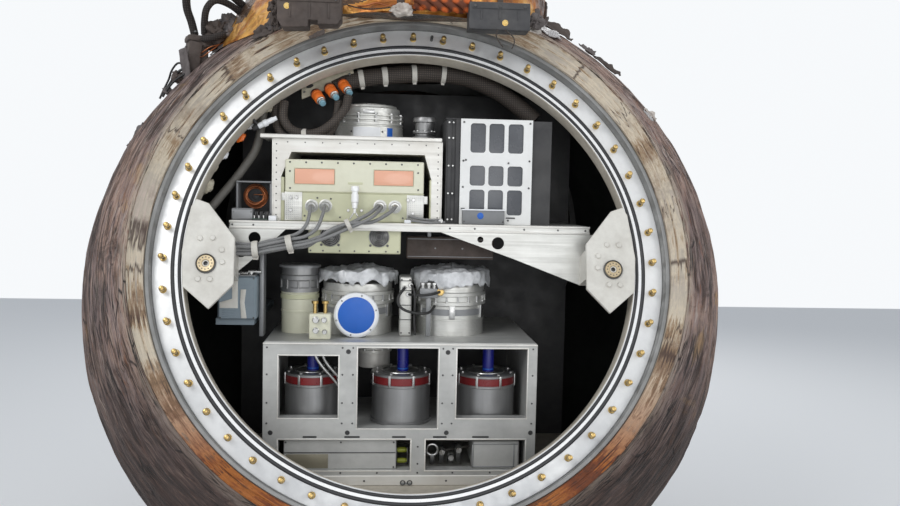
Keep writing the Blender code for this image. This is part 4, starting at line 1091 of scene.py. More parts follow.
def makeCollar():
    c = collar
    out, wall, base, top, wellOut = c["out"], c["wall"], c["base"], c["top"], c["wellIn"] + c["wall"]
    side = [(out, base + (top - base) * k / c["rows"]) for k in range(c["rows"] + 1)]
    inside = [(out - wall, top - (top - base - wall) * k / 6) for k in range(7)]
    floor = [(out - wall - (out - wall - c["wellIn"]) * k / 10, base + wall) for k in range(1, 11)]
    bm = lathe([(0, c["wellLow"]), (wellOut, c["wellLow"]), (wellOut, base)] + side + inside + floor
        + [(c["wellIn"], c["wellLow"] + wall), (0, c["wellLow"] + wall)], c["steps"])
    for vert in bm.verts:
        r = math.hypot(vert.co.x, vert.co.y)
        if abs(r - out) < 1e-5 and vert.co.z > base + 0.004:
            around = Vector((vert.co.x * 9.0, vert.co.y * 9.0, vert.co.z * 16.0))
            fold = abs(noise.fractal(around, 0.7, 2.0, 4)) + 0.5 * abs(noise.fractal(around * 3.0, 0.7, 2.0, 3))
            pull = -c["crumple"] * fold
            vert.co.x *= 1 + pull / r
            vert.co.y *= 1 + pull / r
            if vert.co.z > top - 0.001:
                vert.co.z -= 0.010 * abs(noise.fractal(around * 0.8, 0.7, 2.0, 4))
        elif abs(vert.co.z - base - wall) < 1e-5 and c["wellIn"] + 0.005 < r < out - wall - 0.005:
            vert.co.z += 0.006 * noise.fractal(vert.co * 9.0, 0.8, 2.0, 4) + 0.002
    for face in bm.faces:
        mid = face.calc_center_median()
        r = math.hypot(mid.x, mid.y)
        face.material_index = 0 if r > out - wall * 1.2 else 1
    slide(bm, c["x"], 0, 0)
    inner("parachuteCollar", bm, ("foil", "darkFoil"), "amber_layers", stands=("parachute_well",), sharp=60, merge=True)
    # rim bead, and straps with their screws
    bm = bmesh.new()
    add(bm, hoop(out - wall / 2, 0.006, 160, 8), (Matrix.Translation((c["x"], 0, top - 0.002)),), 0)
    for k in range(10):
        turn = Matrix.Translation((c["x"], 0, 0)) @ spun(18 + 36 * k, "Z")
        strap = block(out - 0.006, out + 0.0015, -0.012, 0.012, base + 0.004, top - 0.004, 0.0012)
        add(bm, strap, (turn,), 1)
        add(bm, screwHead(0.005, 0.003), [turn @ Matrix.Translation((out + 0.001, 0, z))
            @ Matrix.Rotation(math.pi / 2, 4, "Y") for z in (base + 0.020, top - 0.022)], 0)
    inner("collarStraps", bm, ("darkSteel", "burnt"), "amber_layers")


collarBoxes = dict(left=dict(x0=-0.425, x1=-0.230, z0=0.922, z1=1.020),
    right=dict(x0=0.160, x1=0.350, z0=0.937, z1=1.020), y0=-0.628, y1=-0.548, rough=0.0016)


def roughen(bm, size, scale, cuts=0):
    if cuts:
        bmesh.ops.subdivide_edges(bm, edges=[e for e in bm.edges if e.calc_length() > 0.02], cuts=cuts,
            use_grid_fill=True)
    for vert in bm.verts:
        vert.co += Vector((noise.noise(vert.co * scale), noise.noise(vert.co * scale + Vector((9, 0, 0))),
            noise.noise(vert.co * scale + Vector((0, 9, 0))))) * size


def makeCollarBoxes():
    b = collarBoxes
    for word in ("left", "right"):
        s = b[word]
        x0, x1, z0, z1 = s["x0"], s["x1"], s["z0"], s["z1"]
        outline = [(x0, z0), (x1, z0), (x1, z1), (x0, z1)]
        if word == "left":
            outline = [(x0, z0 + 0.024), (x0 + 0.016, z0), (x0 + 0.094, z0 + 0.004), (x0 + 0.094, z0 + 0.024),
                (x0 + 0.123, z0 + 0.024), (x0 + 0.123, z0 + 0.012), (x1 - 0.014, z0 + 0.014), (x1, z0 + 0.030),
                (x1, z1), (x0, z1)]
        bm = platePart(outline, -b["y1"], -b["y0"], 0.003)
        carry(bm, front(0, 0, 0))
        tab = block(x0 + 0.010, x1 - 0.010, b["y1"] - 0.002, -0.372, 0.9925, 1.0155, 0.002)
        add(bm, tab)
        roughen(bm, b["rough"], 38.0, 3)
        # proud lid line, ribs and fixings
        add(bm, block(x0 + 0.008, x1 - 0.008, b["y0"] - 0.003, b["y0"] + 0.002, z1 - 0.020, z1 - 0.005, 0.001), index=0)
        for k in range(3):
            x = x0 + (x1 - x0) * (0.2 + 0.3 * k)
            add(bm, block(x - 0.003, x + 0.003, b["y0"] - 0.0025, b["y0"] + 0.002, z0 + 0.030, z1 - 0.024, 0.0008),
                index=0)
        studs = [(0.272, 0.958)] if word == "right" else [(-0.395, 0.985)]
        add(bm, hexBolt(0.007, 0.006), [front(x, b["y0"], z) for x, z in studs], 1)
        add(bm, screwHead(0.0042, 0.003), [front(x, b["y0"] - 0.0028, z1 - 0.0125)
            for x in (x0 + 0.018, (x0 + x1) / 2, x1 - 0.018)], 2)
        inner("collarBox" + word.title(), bm, ("burnt" if word == "left" else "boxBlack", "gold", "darkSteel"),
            "dark_paint", stands=("collar_box_" + word,))


makeCollar()
makeCollarBoxes()
print("parachute collar made")


# bracket plates that carry the rack
bracketScrews = ((-0.644, 0.055), (-0.606, 0.056), (-0.577, 0.019), (-0.574, -0.019), (-0.607, -0.072),
    (-0.642, -0.072))
bracket = dict(top=0.71296, bushX=-0.622, bushY=-0.024)


def makeBracketDetails():
    b = bracket
    for word, side in (("Left", 1), ("Right", -1)):
        bm = bmesh.new()
        low = b["top"]
        add(bm, screwHead(0.0085, 0.0065, 16, False), [frontHatch @ Matrix.Translation((side * x, y, low - 0.0004))
            for x, y in bracketScrews], 0)
        place = frontHatch @ Matrix.Translation((side * b["bushX"], b["bushY"], low))
        add(bm, lathe([(0.0100, 0.0002), (0.0100, 0.0045), (0.0120, 0.0065), (0.0245, 0.0070), (0.0262, 0.0050),
            (0.0262, 0.0002)], 48, closed=True), (place,), 1)
        add(bm, lathe([(0.0268, -0.0002), (0.0268, 0.0050), (0.0280, 0.0062), (0.0300, 0.0052), (0.0306, -0.0002)], 48,
            closed=True), (place,), 2)
        add(bm, lathe([(0, -0.0060), (0.0066, -0.0060), (0.0066, 0.0010), (0.0088, 0.0010), (0.0096, 0.0030),
            (0.0096, -0.0070), (0, -0.0070)], 32), (place,), 2)
        pips = [place @ spun(30 * k, "Z") @ Matrix.Translation((0.0190, 0, 0.0066)) for k in range(12)]
        add(bm, screwHead(0.0020, 0.0012, 8, False), pips, 2)
        build("bracketFixings" + word, bm, ("bracket", "bronze", "darkSteel"), merge=False)


makeBracketDetails()
dress(("bracket_plate_left", "bracket_plate_right"), "bracket")


# plug bracket at the upper left
plugBracket = dict(low=0.6057, thick=0.008, plate=((-0.368, 0.566), (-0.195, 0.646), (-0.206, 0.700), (-0.371, 0.629)),
    post=((-0.300, 0.640), (-0.260, 0.658), (-0.266, 0.672), (-0.306, 0.654)),
    plugs=((-0.324, 0.588), (-0.281, 0.610), (-0.238, 0.628)), aim=(0.40, -0.75, 0.53), ovalX=-0.343, ovalY=0.611)


def makePlugBracket():
    p = plugBracket
    low = p["low"]
    bm = platePart(p["plate"], low, low + p["thick"], 0.0018)
    add(bm, platePart(p["post"], low + 0.004, faceHeight - 0.0503, 0.001), index=0)
    lip = platePart(((-0.371, 0.629), (-0.206, 0.700), (-0.2075, 0.706), (-0.373, 0.635)), low - 0.020, low
        + p["thick"], 0.001)
    add(bm, lip, index=0)
    slant = spun(24, "Z")
    oval = Matrix.Translation((p["ovalX"], p["ovalY"], low + p["thick"])) @ slant @ Matrix.Diagonal((1.5, 0.8, 1, 1))
    add(bm, lathe([(0, 0.0004), (0.0085, 0.0004), (0.0085, 0), (0, 0)], 24), (oval,), 3)
    add(bm, lathe([(0.0085, 0), (0.0085, 0.0016), (0.0100, 0.0016), (0.0105, 0)], 24, closed=True), (oval,), 0)
    sleeve = lathe([(0, 0.010), (0.0178, 0.010), (0.0184, 0.013), (0.0184, 0.020), (0.0168, 0.022), (0.0172, 0.024),
        (0.0172, 0.046), (0.0158, 0.050), (0, 0.050)], 28)
    cap = lathe([(0, 0), (0.0170, 0), (0.0182, 0.002), (0.0182, 0.009), (0.0170, 0.0102), (0, 0.0102)], 28)
    tip = lathe([(0, 0.0655), (0.0098, 0.0655), (0.0098, 0.0740), (0.0080, 0.0760), (0, 0.0760)], 20)
    aim = Vector(p["aim"]).to_track_quat("Z", "Y").to_matrix().to_4x4()
    tail = lathe([(0, 0.048), (0.0140, 0.049), (0.0140, 0.056), (0.0118, 0.0575), (0.0118, 0.0650), (0.0100, 0.0658),
        (0, 0.0658)], 24)
    nut = lathe([(0.0110, 0.0), (0.0172, 0.0), (0.0172, 0.0055), (0.0160, 0.0065), (0.0110, 0.0065)], 6, closed=True)
    places = [frontHatch @ Matrix.Translation((x, y, low + p["thick"])) @ aim for x, y in p["plugs"]]
    carry(bm, frontHatch)
    add(bm, sleeve, places, 1)
    add(bm, cap, places, 4)
    add(bm, tip, places, 5)
    add(bm, tail, places, 2)
    add(bm, nut, places, 2)
    screws = [frontHatch @ Matrix.Translation((x, y, low + p["thick"])) for x,
        y in ((-0.360, 0.590), (-0.362, 0.625), (-0.213, 0.660), (-0.217, 0.690), (-0.300, 0.650), (-0.262, 0.664))]
    add(bm, screwHead(0.0040, 0.0025), screws, 2)
    build("plugBracket", bm, ("beige", "orange", "steel", "black", "cap", "tipBlue"),
        stands=("connector_bracket",), merge=False)


makePlugBracket()
print("brackets made")


# shelf, portal and control unit
rackFace, unitFace, shelfFace = -0.50003641, -0.51003641, -0.56003641
portal = dict(x0=-0.447, x1=0.092, low=0.3313, top=0.594, rivets=11)
unitWindows = dict(xs=(-0.3145, -0.0615), half=0.063, z0=0.4505, z1=0.4985)
unitScrews = ((-0.393, 0.519), (-0.342, 0.519), (-0.292, 0.519), (-0.241, 0.519), (-0.190, 0.519), (-0.138, 0.519),
    (-0.087, 0.519), (-0.036, 0.519), (0.016, 0.519), (-0.393, 0.490), (-0.392, 0.436), (0.017, 0.493), (0.018, 0.438))
unitValveX = -0.1845
unitPlugs = ((-0.323, 0.380), (-0.279, 0.381), (-0.104, 0.383), (-0.056, 0.382))


def makeRack():
    p = portal
    dress(("main_shelf", "gusset_left", "gusset_right"), "alloy")
    dress(("portal_frame", "portal_top"), "portal")
    bm = bmesh.new()
    rivet = screwHead(0.0022, 0.0012, 8, False)
    rows = [p["low"] + 0.018 + (p["top"] - p["low"] - 0.036) * k / (p["rivets"] - 1) for k in range(p["rivets"])]
    spots = [front(x, rackFace, z) for z in rows for x in (p["x0"] + 0.010, p["x1"] - 0.010)]
    spots += [front(x, rackFace, 0.583) for x in [p["x0"] + 0.045 + 0.0555 * k for k in range(9)]]
    add(bm, rivet, spots, 0)
    # angle posts and foot brackets inside the portal
    for x0, x1 in ((p["x0"] - 0.004, p["x0"] + 0.0015), (p["x1"] - 0.0015, p["x1"] + 0.004)):
        add(bm, block(x0, x1, rackFace - 0.0015, -0.2, p["low"], p["top"], 0.001), index=1)
    for x0 in (p["x0"] + 0.024, p["x1"] - 0.036):
        add(bm, block(x0, x0 + 0.012, rackFace + 0.002, rackFace + 0.030, p["low"], p["low"] + 0.140, 0.002), index=2)
    # little blocks and screws along the shelf's front
    shelfSpots = [(x, 0.318) for x in (-0.565, -0.50, 0.12, 0.20, 0.36, 0.47, 0.56)]
    screwsOn(bm, (0.0032, 0.0018, 10), shelfFace, shelfSpots, 0)
    add(bm, block(-0.455, -0.431, shelfFace + 0.012, rackFace - 0.006, 0.3312, 0.3470, 0.002), index=3)
    add(bm, block(-0.026, -0.004, shelfFace + 0.006, shelfFace + 0.024, 0.3312, 0.3420, 0.002), index=3)
    for x, z in ((0.046, 0.3395), (0.070, 0.3400), (0.090, 0.3395)):
        add(bm, lathe([(0, 0), (0.0085, 0), (0.0085, 0.008), (0.0065, 0.009), (0.0065, 0.018), (0, 0.018)], 16),
            (front(x, shelfFace + 0.030, z),), 4)
    inner("rackTrim", bm, ("darkSteel", "portal", "creamDeep", "whiteRim", "steel"), "rack_alloy")
    # front lip of the shelf, a folded channel
    bm = block(-0.5752, 0.5752, shelfFace - 0.0012, shelfFace + 0.0030, 0.3050, 0.3125, 0.0010)
    add(bm, block(-0.5752, 0.5752, shelfFace - 0.0012, shelfFace + 0.0030, 0.3235, 0.3310, 0.0010))
    inner("shelfLips", bm, "portal", "rack_alloy")


def makeControlUnit():
    w = unitWindows
    dress(("control_unit_upper",), "cream")
    dress(("control_unit_lower",), "creamDeep")
    bm = bmesh.new()
    for x in w["xs"]:
        pane = block(x - w["half"], x + w["half"], unitFace + 0.0012, unitFace + 0.0038, w["z0"], w["z1"], 0.0008)
        add(bm, pane, index=0)
        frameOut = [(x - w["half"] - 0.002, w["z0"] - 0.002), (x + w["half"] + 0.002, w["z0"] - 0.002),
            (x + w["half"] + 0.002, w["z1"] + 0.002), (x - w["half"] - 0.002, w["z1"] + 0.002)]
        for (ax, az), (bx, bz) in zip(frameOut, frameOut[1:] + frameOut[:1]):
            bar = block(min(ax, bx) - 0.0006, max(ax, bx) + 0.0006, unitFace - 0.0006, unitFace + 0.0036,
                min(az, bz) - 0.0006, max(az, bz) + 0.0006, 0.0004)
            add(bm, bar, index=1)
    screwsOn(bm, flatScrew, unitFace, unitScrews, 2)
    add(bm, block(-0.2080, -0.1610, unitFace - 0.0008, unitFace + 0.001, 0.4515, 0.4585, 0.0004), index=1)
    add(bm, block(-0.4090, 0.0370, unitFace - 0.0010, unitFace + 0.001, 0.4228, 0.4252, 0.0005), index=1)
    inner("unitWindows", bm, ("window", "creamDeep", "darkSteel"), "cream_paint")
    # corner plates with a fine pierced pattern
    bm = bmesh.new()
    hole = lathe([(0, 0), (0.0011, 0), (0.0011, 0.0004), (0, 0.0004)], 6)
    for x0, x1, z0, z1, wing in ((-0.4088, -0.3530, 0.3330, 0.4240, -0.0100),
            (-0.0180, 0.0368, 0.3380, 0.4210, 0.0120)):
        add(bm, block(x0, x1, unitFace - 0.0022, unitFace - 0.0002, z0, z1, 0.0008), index=0)
        wx0, wx1 = (x0 + wing, x0 + 0.002) if wing < 0 else (x1 - 0.002, x1 + wing)
        add(bm, block(wx0, wx1, unitFace - 0.0022, unitFace - 0.0002, z1 - 0.028, z1 - 0.003, 0.0008), index=0)
        holes = [front(x0 + 0.006 + 0.0062 * i, unitFace - 0.0022, z0 + 0.006 + 0.0062 * j)
            for i in range(int((x1 - x0 - 0.008) / 0.0062)) for j in range(int((z1 - z0 - 0.008) / 0.0062))]
        add(bm, hole, holes, 1)
    knobs = ((-0.389, 0.406), (-0.371, 0.406), (-0.389, 0.366), (-0.014, 0.405), (0.003, 0.405), (0.002, 0.362))
    screwsOn(bm, (0.0058, 0.0050, 14, False), unitFace - 0.0022, knobs, 2)
    inner("unitCornerPlates", bm, ("alloy", "greyPlate", "steel"), "rack_alloy")
    # round plugs with knurled rings
    bm = bmesh.new()
    shellPart = lathe([(0, 0), (0.0175, 0), (0.0175, 0.0025), (0.0150, 0.003), (0.0150, 0.006), (0.0162, 0.007),
        (0.0162, 0.017), (0.0150, 0.0185), (0.0110, 0.0190), (0.0105, 0.0270), (0.0085, 0.0300), (0, 0.0300)], 28)
    ridge = block(0.0157, 0.0170, -0.0008, 0.0008, 0.0075, 0.0165, 0.0003, 1)
    places = [front(x, unitFace, z) @ spun(tilt, "X") for (x, z), tilt in zip(unitPlugs, (12, 14, 8, 6))]
    add(bm, shellPart, places, 0)
    ridges = [place @ spun(15 * k, "Z") for place in places for k in range(24)]
    add(bm, ridge, ridges, 0)
    add(bm, lathe([(0, 0), (0.0215, 0), (0.0215, 0.0016), (0.0205, 0.0022), (0, 0.0022)], 28),
        [front(x, unitFace, z) for x, z in unitPlugs], 1)
    # upright valve between them
    stalk = lathe([(0, 0), (0.0045, 0), (0.0045, 0.014), (0.0090, 0.016), (0.0090, 0.034), (0.0120, 0.036),
        (0.0120, 0.060), (0.0100, 0.062), (0.0100, 0.070), (0.0135, 0.071), (0.0135, 0.082), (0.0115, 0.086),
        (0, 0.087)], 24)
    add(bm, stalk, (upright(unitValveX, unitFace - 0.020, 0.3600),), 2)
    add(bm, block(-0.1960, -0.1730, unitFace - 0.010, unitFace - 0.0002, 0.386, 0.420, 0.002), index=1)
    for dx, dz in ((-0.0215, 0.3680), (0.0215, 0.3680)):
        add(bm, screwHead(0.0050, 0.0040), (front(unitValveX + dx, unitFace, dz),), 0)
    for lean in (-32, 32):
        leg = lathe([(0, 0), (0.0022, 0), (0.0022, 0.030), (0, 0.030)], 10)
        add(bm, leg, (upright(unitValveX, unitFace - 0.020, 0.366) @ spun(180 + lean, "Y"),), 0)
    screws = ((-0.305, 0.406), (-0.262, 0.404), (-0.345, 0.348), (-0.232, 0.345), (-0.135, 0.345), (-0.030, 0.346))
    screwsOn(bm, flatScrew, unitFace, screws, 3)
    inner("unitPlugs", bm, ("steel", "alloy", "strip", "darkSteel"), "rack_alloy")


fans = dict(xs=(-0.2610, -0.1055), y=-0.54503641, z=0.285, rings=(0.009, 0.0145, 0.020, 0.0255, 0.031), wire=0.0007,
    well=0.0362, lip=0.0008)


def housingLook():
    # the cream enamel, with both fan wells black inside as painted shade
    look = paintLook("creamHousing", (0.60, 0.60, 0.41), (0.40, 0.39, 0.25), 0.4, grimeShare=0.3, size=7.0)
    tree = look.node_tree
    shader = next(n for n in tree.nodes if n.type == "BSDF_PRINCIPLED")
    tone = shader.inputs["Base Color"].links[0].from_socket
    across, along, rise = axesOf(tree, tree.nodes.new("ShaderNodeTexCoord").outputs["Object"])
    inside = None
    for x in fans["xs"]:
        dx = mathsOn(tree, "SUBTRACT", across, x)
        dz = mathsOn(tree, "SUBTRACT", rise, fans["z"] + ballHeight)
        away = lengthOf(tree, dx, dz)
        within = mathsOn(tree, "LESS_THAN", away, fans["well"])
        inside = within if inside is None else mathsOn(tree, "MAXIMUM", inside, within)
    deep = mathsOn(tree, "GREATER_THAN", along, fans["y"] + fans["lip"])
    # black inside the fan wells is painted shade
    coloured(tree, shader, mixed(tree, mathsOn(tree, "MULTIPLY", inside, deep), tone, (0.010, 0.010, 0.011)))
    return look


def makeFanGuards():
    f = fans
    looks["housing"] = housingLook()
    dress(("fan_housing",), "housing")
    bm = bmesh.new()
    for x in f["xs"]:
        for radius in f["rings"]:
            add(bm, hoop(radius, f["wire"], 48, 6), (front(x, f["y"] - 0.0018, f["z"]),), 0)
        corners = [front(x, f["y"], f["z"]) @ spun(45 + 90 * k, "Z") for k in range(4)]
        add(bm, block(0.005, 0.036, -0.0008, 0.0008, -0.0005, 0.0011, 0.0003, 1), corners, 3)
        add(bm, screwHead(0.0042, 0.0026), [corner @ Matrix.Translation((0.0385, 0, 0)) for corner in corners], 1)
        add(bm, lathe([(0.0330, 0.0), (0.0330, 0.0016), (0.0345, 0.0016), (0.0350, 0.0)], 48, closed=True),
            (front(x, f["y"], f["z"]),), 2)
    spots = [(x, 0.239) for x in (-0.322, -0.283, -0.230, -0.183, -0.137, -0.083, -0.045)]
    screwsOn(bm, (0.0028, 0.0016, 10), f["y"], spots, 1)
    inner("fanGuards", bm, ("steel", "darkSteel", "creamDeep", "black"), "rack_alloy")
    dress(("fan_hub_left", "fan_hub_right"), "black")


makeRack()
makeControlUnit()
makeFanGuards()
print("upper rack made")


# right module with its panes
module = dict(cols=((0.186, 0.236), (0.247, 0.297), (0.310, 0.360)),
    rows=((0.362, 0.444), (0.457, 0.522), (0.564, 0.659)), xCuts=(0.154, 0.2415, 0.3035, 0.390),
    zCuts=(0.3313, 0.4505, 0.543, 0.673), deep=0.0042, thick=0.012, corner=0.010,
    screws=((0.164, 0.662), (0.164, 0.537), (0.172, 0.540), (0.164, 0.452), (0.312, 0.532), (0.381, 0.662),
    (0.381, 0.452), (0.381, 0.540), (0.315, 0.345)))


def makeModule():
    m = module
    dress(("module_case",), "black")
    # white lattice of nine cells, each a ring from its edge in to a window with round corners
    bm = bmesh.new()
    r = m["corner"]
    for i, (x0, x1) in enumerate(m["cols"]):
        for j, (z0, z1) in enumerate(m["rows"]):
            left, right, low, high = m["xCuts"][i], m["xCuts"][i + 1], m["zCuts"][j], m["zCuts"][j + 1]
            edge, hole = [], []
            for k, (cx, cz, ex, ez) in enumerate(((x1 - r, z1 - r, right, high), (x0 + r, z1 - r, left, high),
                    (x0 + r, z0 + r, left, low), (x1 - r, z0 + r, right, low))):
                for step in range(6):
                    turn = math.radians(90 * k + 18 * step)
                    hole.append(bm.verts.new((cx + r * math.cos(turn), rackFace, cz + r * math.sin(turn))))
                    edge.append(bm.verts.new((ex, rackFace, ez)))
            for k in range(24):
                bm.faces.new((edge[k], edge[(k + 1) % 24], hole[(k + 1) % 24], hole[k]))
    bmesh.ops.remove_doubles(bm, verts=bm.verts, dist=weld)
    bmesh.ops.solidify(bm, geom=bm.faces[:], thickness=m["deep"])
    nearest = min(v.co.y for v in bm.verts)
    slide(bm, 0, rackFace - nearest, 0)
    bmesh.ops.recalc_face_normals(bm, faces=bm.faces)
    # backing whose front shows through the windows as the grey panes
    backing = block(m["xCuts"][0], m["xCuts"][3], rackFace + m["deep"], rackFace + m["thick"], m["zCuts"][0],
        m["zCuts"][3], 0.0004)
    add(bm, backing, index=1)
    inner("moduleFace", bm, ("white", "pane"), "white_paint", stands=("module_face",), merge=False)
    bm = bmesh.new()
    screwsOn(bm, (0.0034, 0.0018, 12), rackFace, m["screws"], 0)
    add(bm, block(0.1590, 0.1720, rackFace - 0.0030, rackFace, 0.3795, 0.3835, 0.001), index=1)
    add(bm, block(0.3080, 0.3380, rackFace - 0.0030, rackFace, 0.3510, 0.3550, 0.001), index=1)
    inner("moduleScrews", bm, ("darkSteel", "black"), "white_paint")
    bm = block(0.163, 0.301, rackFace - 0.020, rackFace - 0.0005, 0.3318, 0.3760, 0.002)
    add(bm, block(0.160, 0.304, rackFace - 0.0225, rackFace - 0.0005, 0.3762, 0.3805, 0.001), index=1)
    tag = lathe([(0, 0), (0.0105, 0), (0.0105, 0.0009), (0.0100, 0.0012), (0, 0.0012)], 32)
    add(bm, tag, (front(0.2215, rackFace - 0.020, 0.3590),), 2)
    screwsOn(bm, smallScrew, rackFace - 0.020, ((0.168, 0.3400), (0.296, 0.3400)), 3)
    inner("moduleLowPanel", bm, ("grey", "whiteRim", "blue", "darkSteel"), "rack_alloy")
    # hinges and pins down the dark side
    bm = bmesh.new()
    for z in (0.345, 0.430, 0.520, 0.610, 0.660):
        for x, y in ((0.1300, rackFace + 0.008), (0.1440, rackFace + 0.008), (0.116, rackFace + 0.004)):
            add(bm, screwHead(0.0034, 0.0030, 10, False), (front(x, y, z),), 0)
    add(bm, block(0.1380, 0.1535, rackFace + 0.0035, rackFace + 0.0120, 0.3313, 0.6710, 0.002), index=1)
    add(bm, block(0.1120, 0.1260, rackFace + 0.0080, rackFace + 0.0120, 0.3313, 0.6710, 0.002), index=1)
    add(bm, block(0.1050, 0.1545, rackFace + 0.0060, rackFace + 0.0640, 0.6712, 0.6745, 0.001), index=1)
    inner("moduleSide", bm, ("steel", "black"), "dark_paint")


coil = dict(x=-0.509, z=0.408, y=-0.43604, turns=16, wire=0.0016, small=0.0270, large=0.0385)


def makeLeftBoxes():
    dress(("coil_box", "grey_box"), "grey")
    c = coil
    bm = bmesh.new()
    for turn in range(c["turns"]):
        share = (turn * 0.618) % 1.0
        lean = Euler((0.16 * math.sin(2.3 * turn), 0.16 * math.cos(1.7 * turn), 0)).to_matrix().to_4x4()
        shift = Matrix.Translation((0.0022 * math.sin(1.9 * turn), 0.0022 * math.cos(2.6 * turn), 0))
        oval = Matrix.Diagonal((1.0, 0.90 + 0.14 * ((turn * 0.37) % 1.0), 1.0, 1.0))
        add(bm, hoop(c["small"] + (c["large"] - c["small"]) * share, c["wire"], 56, 8),
            (front(c["x"], c["y"] - 0.008 - 0.0009 * turn, c["z"]) @ shift @ lean @ oval,), 0)
    for k in range(3):
        add(bm, lathe([(0, 0), (0.0016, 0), (0.0016, 0.036), (0, 0.036)], 8),
            (front(c["x"] + 0.006 * (k - 1), c["y"] - 0.012, c["z"] + 0.004) @ spun(70 + 28 * k, "Y")
            @ Matrix.Rotation(0.5 * k, 4, "Z"),), 0)
    # black disc at the coil's middle: painted shade of its open centre
    add(bm, lathe([(0, 0), (0.0110, 0), (0.0130, 0.003), (0.0130, 0.006), (0.0100, 0.008), (0, 0.008)], 28),
        (front(c["x"], c["y"], c["z"]),), 1)
    inner("coilWinding", bm, ("copper", "black"), "copper", stands=("coil_ring",))
    bm = block(-0.5565, -0.4575, -0.4315, -0.4302, 0.3515, 0.4505, 0.0004)
    add(bm, block(-0.505, -0.458, rackFace - 0.050, rackFace - 0.001, 0.3350, 0.3372, 0.0005), index=1)
    for k in range(9):
        x = -0.5010 + 0.0048 * k
        tall = 0.010 + 0.014 * abs(math.sin(k * 2.1))
        add(bm, block(x, x + 0.0034, rackFace - 0.046, rackFace - 0.006 - 0.020 * (k % 2), 0.3370, 0.3370 + tall,
            0.0006), index=(2 if k % 3 else 3))
    add(bm, block(-0.506, -0.458, rackFace - 0.050, rackFace - 0.001, 0.3313, 0.3352, 0.0005), index=0)
    inner("coilBoards", bm, ("black", "board", "black", "steel"), "grey_paint")
    bm = bmesh.new()
    corners = [(-0.5595 + 0.1050 * (k % 2), 0.338 + 0.112 * (k // 2)) for k in range(4)]
    screwsOn(bm, (0.0026, 0.0014, 10), rackFace, corners, 0)
    screwsOn(bm, (0.0030, 0.0016, 10), rackFace - 0.040, ((-0.565, 0.358), (-0.510, 0.358)), 0)
    add(bm, block(-0.5700, -0.5060, rackFace - 0.0415, rackFace - 0.0395, 0.3370, 0.3640, 0.0008), index=1)
    inner("leftBoxFixings", bm, ("darkSteel", "greyPlate"), "grey_paint")


sideCase = dict(y=-0.55003641)


def makeSideCase():
    dress(("side_case",), "blueGrey")
    s = sideCase
    bm = bmesh.new()
    y = s["y"]
    plate = platePart(((-0.605, 0.052), (-0.548, 0.052), (-0.548, 0.148), (-0.566, 0.148), (-0.566, 0.082),
        (-0.605, 0.070)), 0.0002, 0.0018, 0.0005)
    add(bm, plate, (front(0, y, 0),), 0)
    add(bm, platePart(((-0.537, 0.020), (-0.520, 0.020), (-0.527, 0.070), (-0.522, 0.112), (-0.539, 0.112),
        (-0.541, 0.070)), 0.0002, 0.0026, 0.0008), (front(0, y, 0),), 0)
    for k in range(4):
        z = 0.024 + 0.0070 * k
        add(bm, block(-0.598, -0.556, y - 0.0014, y + 0.001, z, z + 0.0032, 0.0008), index=1)
    add(bm, block(-0.610, -0.494, y - 0.003, y + 0.150, 0.1542, 0.1570, 0.001), index=2)
    # connector stubs on its top
    for x, z in ((-0.560, 0.161), (-0.520, 0.166)):
        add(bm, lathe([(0, 0), (0.0065, 0), (0.0065, 0.038), (0.0050, 0.040), (0, 0.040)], 14),
            (upright(x, y + 0.030, z) @ spun(90, "Y"),), 3)
        add(bm, block(x + 0.004, x + 0.014, y + 0.022, y + 0.038, 0.1560, z, 0.001), index=3)
    screwsOn(bm, smallScrew, y, [(x, z) for z in (0.147, 0.021) for x in (-0.603, -0.499)], 4)
    # upright channel behind it
    add(bm, block(-0.4880, -0.4740, y + 0.050, y + 0.110, -0.0460, 0.2300, 0.002), index=2)
    inner("sideCaseDetails", bm, ("bracket", "blueGrey", "greyPlate", "steel", "darkSteel"), "grey_paint")


makeModule()
makeLeftBoxes()
makeSideCase()
print("side boxes made")


# drums on the portal, vessels on the deck, canisters below
# (their outlines in shares of the radius, with heights in metres)
drums = dict(
    main=dict(x=-0.146, y=-0.300, r=0.116, low=0.6073, rows=((0, 0), (1, 0), (1, 0.040), (0.985, 0.0415),
        (0.965, 0.0425), (0.965, 0.0455), (1, 0.047), (1, 0.0530), (0.93, 0.0545), (0.93, 0.0600), (1.01, 0.0615),
        (1.01, 0.0665), (0.93, 0.0680), (0.93, 0.0745), (1.0, 0.0760), (1.0, 0.0800), (0.90, 0.0815), (0.90, 0.1020),
        (0.82, 0.1060), (0.80, 0.1130), (0.72, 0.1160), (0, 0.1160))),
    small=dict(x=0.042, y=-0.340, r=0.040, low=0.6073, rows=((0, 0), (1, 0), (1, 0.012), (0.78, 0.016), (0.78, 0.022),
        (0.97, 0.024), (0.97, 0.030), (0.80, 0.032), (0.80, 0.060), (0.98, 0.062), (0.98, 0.070), (0.90, 0.078),
        (0, 0.078))),
)


